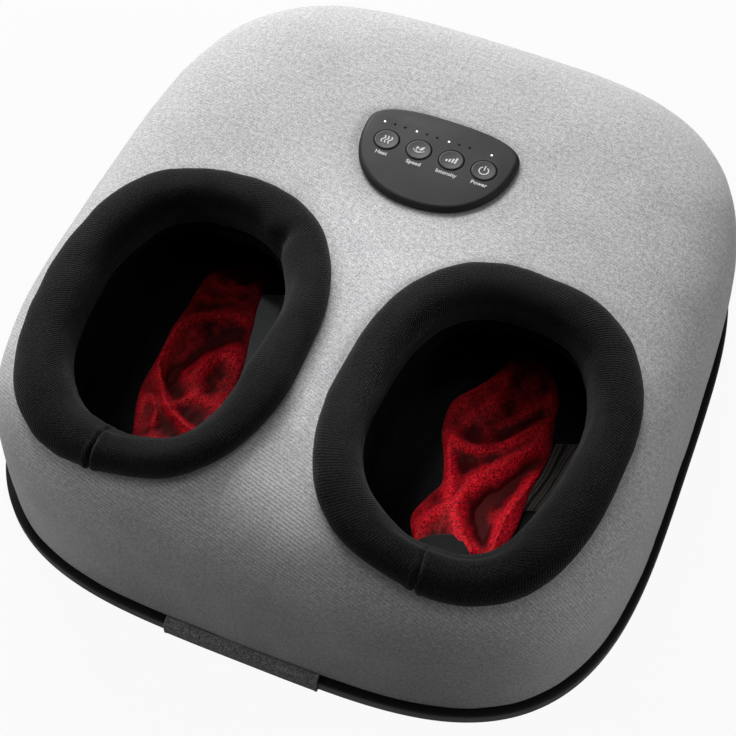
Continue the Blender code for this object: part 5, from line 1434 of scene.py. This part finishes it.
def make_base():
    """Black base tray with a rounded rim, foot and screw recesses, vents and the inlet's hole."""
    rim = rounded([(flange_width, rim_top, 0), (0.0, rim_top, rim_round), (0.0, foot_height, rim_round),
                   (0.03, foot_height, 0)], 8, False)
    section = [(base_wall, base_floor), (base_wall, rim_top - flange_thickness),
               (flange_width, rim_top - flange_thickness)] + rim[:-1]
    rings = [base_ring(inset, height) for inset, height in section]
    count = len(rings[0])
    faces = grid_faces(len(rings), count)
    faces.append(tuple(range(count))[::-1])
    faces.append(tuple(range((len(rings) - 1) * count, len(rings) * count)))
    tray = add_piece("base_tray", np.concatenate(rings), faces, rim_plastic, None)
    outward(tray)
    cutters = []
    foot_x, foot_y = half_width * 0.72, half_depth * 0.72
    for x in (foot_x, -foot_x):
        for y in (foot_y, -foot_y):
            hole = [(0, -0.001), (0.0113, -0.001), (0.0113, foot_height + 0.0012), (0, foot_height + 0.0012)]
            cutters.append(lathe("recess", hole, 48, Matrix.Translation((x, y, 0)), None, None))
    screws = [(0.70, 0.65), (0.80, -0.56), (0.0, -0.74), (-0.70, 0.65), (-0.80, -0.56)]
    for share_x, share_y in screws:
        hole = [(0, foot_height - 0.001), (0.0030, foot_height - 0.001), (0.0030, foot_height + 0.0019),
                (0, foot_height + 0.0019)]
        place = Matrix.Translation((half_width * share_x, half_depth * share_y, 0))
        cutters.append(lathe("screw_hole", hole, 32, place, None, None))
    for index in range(5):
        cutters.append(block("vent", (0.003, 0.026, 0.0045), (-0.060 + (index - 2) * 0.008, 0.130, 0.00525)))
    rear = Matrix.Translation((0.060, half_depth + rim_overhang, 0.0098)) @ Matrix.Rotation(-math.pi / 2, 4, "X")
    hole = [(0, -0.015), (0.0036, -0.015), (0.0036, 0.01), (0, 0.01)]
    cutters.append(lathe("inlet_hole", hole, 40, rear, None, None))
    carve(tray, cutters)
    sharpen(tray, 30.0)
    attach(tray, HOUSING)
    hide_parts("base_pan")
    names = {"rear_right": (foot_x, foot_y), "rear_left": (-foot_x, foot_y),
             "front_right": (foot_x, -foot_y), "front_left": (-foot_x, -foot_y)}
    for name, (x, y) in names.items():
        profile = [(0.0, 0.0006), (0.0045, 0.0006), (0.0050, 0.0001), (0.0056, 0.0)]
        profile += rounded([(0.0056, 0.0, 0), (0.011, 0.0, 0.0010), (0.011, 0.0049, 0)], 5, False)[1:]
        profile += [(0.0, 0.0049)]
        foot = lathe(f"foot_pad_{name}", profile, 48, Matrix.Translation((x, y, 0)), rubber, HOUSING)
        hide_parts(f"rubber_foot_{name}")
    profile = [(0.0, -0.014), (0.0033, -0.014), (0.0033, 0.0002), (0.0031, 0.0004), (0.0027, 0.0004),
               (0.0026, 0.0002), (0.0026, -0.009), (0.0009, -0.009), (0.0009, -0.0013), (0.0006, -0.001), (0.0, -0.001)]
    inlet = lathe("inlet_socket", profile, 40, rear, CAD_FINISHES["inlet_plastic"], HOUSING)
    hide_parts("power_inlet")


def make_tab():
    """Sewn cloth tab that folds over the rim at the front."""
    section = rounded([(0.0042, rim_top, 0), (0.0, rim_top, rim_round), (0.0, foot_height, rim_round),
                       (0.016, foot_height, 0)], 8, False)
    section = np.array(section)
    line = [section[0]]
    for first, second in zip(section, section[1:]):
        pieces = max(1, int(np.linalg.norm(second - first) / 0.0008))
        line += [first + (second - first) * (step + 1) / pieces for step in range(pieces)]
    line = np.array(line)
    run = np.gradient(line, axis=0)
    run /= np.linalg.norm(run, axis=1, keepdims=True)
    out = np.stack([run[:, 1], -run[:, 0]], axis=1)
    steps = 150
    across = (np.linspace(0, 1, steps) - 0.5) * 0.098
    front = -half_depth * (1 - np.abs(across / half_width) ** corner_power) ** (1 / corner_power) - rim_overhang
    gap = np.full((steps, len(line)), 0.00045)
    edge = np.minimum(across - across[0], across[-1] - across)[:, None]
    gap += 0.00035 * np.exp(-(edge / 0.0012) ** 2)
    inset = line[None, :, 0] + out[None, :, 0] * gap
    height = line[None, :, 1] + out[None, :, 1] * gap
    points = np.stack([np.repeat(across[:, None], len(line), axis=1), front[:, None] + inset, height], axis=-1)
    uvs = np.stack(np.meshgrid(across, np.arange(len(line)) * 0.0008, indexing="ij"), axis=-1)
    faces = grid_faces(steps, len(line), False)
    tab = add_piece("tab_cloth", points, faces, shaded_tab_knit, HOUSING, uvs)
    middle = tab.data.polygons[len(tab.data.polygons) // 2]
    if middle.normal.y > 0:
        tab.data.flip_normals()
    thicken(tab, 0.0013, 1.0)
    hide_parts("front_pull_tab")


# Stage, lights and camera

def make_stage():
    floor = block("floor", (6.0, 6.0, 0.02), (0, 0, -0.01))
    made = Nodes("pale_floor", (0.40, 0.40, 0.40), 0.9)
    tree = made.tree
    output = tree.nodes["Material Output"]
    path = tree.nodes.new("ShaderNodeLightPath")
    glow = tree.nodes.new("ShaderNodeEmission")
    glow.inputs["Color"].default_value = (1, 1, 1, 1)
    mix = tree.nodes.new("ShaderNodeMixShader")
    seen = made.math("MAXIMUM", path.outputs["Is Camera Ray"],
                     made.math("MAXIMUM", path.outputs["Is Glossy Ray"], path.outputs["Is Transmission Ray"]))
    made.link(made.math("MULTIPLY", seen, 0.94), mix.inputs[0])
    made.link(made.shader.outputs[0], mix.inputs[1])
    made.link(glow.outputs[0], mix.inputs[2])
    made.link(mix.outputs[0], output.inputs["Surface"])
    floor.data.materials.append(made.material)
    world = bpy.context.scene.world or bpy.data.worlds.new("world")
    bpy.context.scene.world = world
    world.use_nodes = True
    tree = world.node_tree
    back = tree.nodes["Background"]
    back.inputs["Color"].default_value = (1, 1, 1, 1)
    back.inputs["Strength"].default_value = 0.055
    path = tree.nodes.new("ShaderNodeLightPath")
    white = tree.nodes.new("ShaderNodeBackground")
    white.inputs["Strength"].default_value = 1.0
    mix = tree.nodes.new("ShaderNodeMixShader")
    tree.links.new(path.outputs["Is Camera Ray"], mix.inputs[0])
    tree.links.new(back.outputs[0], mix.inputs[1])
    tree.links.new(white.outputs[0], mix.inputs[2])
    tree.links.new(mix.outputs[0], tree.nodes["World Output"].inputs["Surface"])


def make_light(name, place, target, width, height, power, spread=math.pi):
    data = bpy.data.lights.new(name, "AREA")
    data.spread = spread
    data.shape = "RECTANGLE"
    data.size = width
    data.size_y = height
    data.energy = power
    lamp = bpy.data.objects.new(name, data)
    lamp.location = place
    lamp.rotation_mode = "QUATERNION"
    lamp.rotation_quaternion = (Vector(target) - Vector(place)).to_track_quat("-Z", "Y")
    bpy.context.scene.collection.objects.link(lamp)


def make_camera():
    """The photograph's view, found by matching the hood's, collars' and panel's outlines."""
    azimuth, elevation = math.radians(22.6), math.radians(57.19)
    right = Vector((math.cos(azimuth), math.sin(azimuth), 0))
    ahead = Vector((-math.sin(azimuth) * math.cos(elevation), math.cos(azimuth) * math.cos(elevation),
                    -math.sin(elevation)))
    up = right.cross(ahead)
    data = bpy.data.cameras.new("camera")
    data.lens = 89.13
    data.sensor_width = 36.0
    data.sensor_fit = "AUTO"
    data.clip_start, data.clip_end = 0.05, 20.0
    camera = bpy.data.objects.new("camera", data)
    camera.matrix_world = Matrix.Translation(CAMERA_PLACE) @ Matrix(
        (right, up, -ahead)).transposed().to_4x4()
    bpy.context.scene.collection.objects.link(camera)
    bpy.context.scene.camera = camera


dress_nodes()
make_cover()
for each_side in SIDES:
    make_collar(each_side)
    pocket_floor = make_pocket(each_side)
    make_ground(each_side, pocket_floor)
    make_sole(each_side, pocket_floor)
    make_wall_pieces(each_side, pocket_floor)
    if each_side == "right":
        make_heel_fold(pocket_floor)
make_panel()
make_buttons()
make_icons()
make_labels()
make_lamps()
make_base()
make_tab()
make_stage()
make_light("key", (-0.80, 1.15, 0.92), (0.0, 0.0, 0.10), 1.25, 0.95, 42.0)
make_light("top_fill", (0.0, -0.08, 1.15), (0.0, -0.08, 0.10), 0.45, 0.45, 0.7)
make_light("centre_fill", (0.0, -0.04, 1.15), (0.0, -0.04, 0.10), 0.12, 0.12, 0.055, math.radians(18))
make_light("left_fill", (-0.95, -0.35, 0.55), (0.0, 0.0, 0.08), 0.7, 0.6, 2.2)
make_light("right_fill", (1.0, 0.1, 0.5), (0.0, 0.0, 0.08), 0.8, 0.6, 2.6)
for each_side in SIDES.values():
    make_light("mouth_lamp", (each_side * mouth_side - 0.20, mouth_back - 0.06, 0.56),
               (each_side * mouth_side + 0.008, mouth_back - 0.018, 0.06), 0.04, 0.06,
               0.0150 + 0.0075 * each_side, math.radians(13))
make_camera()
bpy.context.scene.view_settings.view_transform = "Standard"
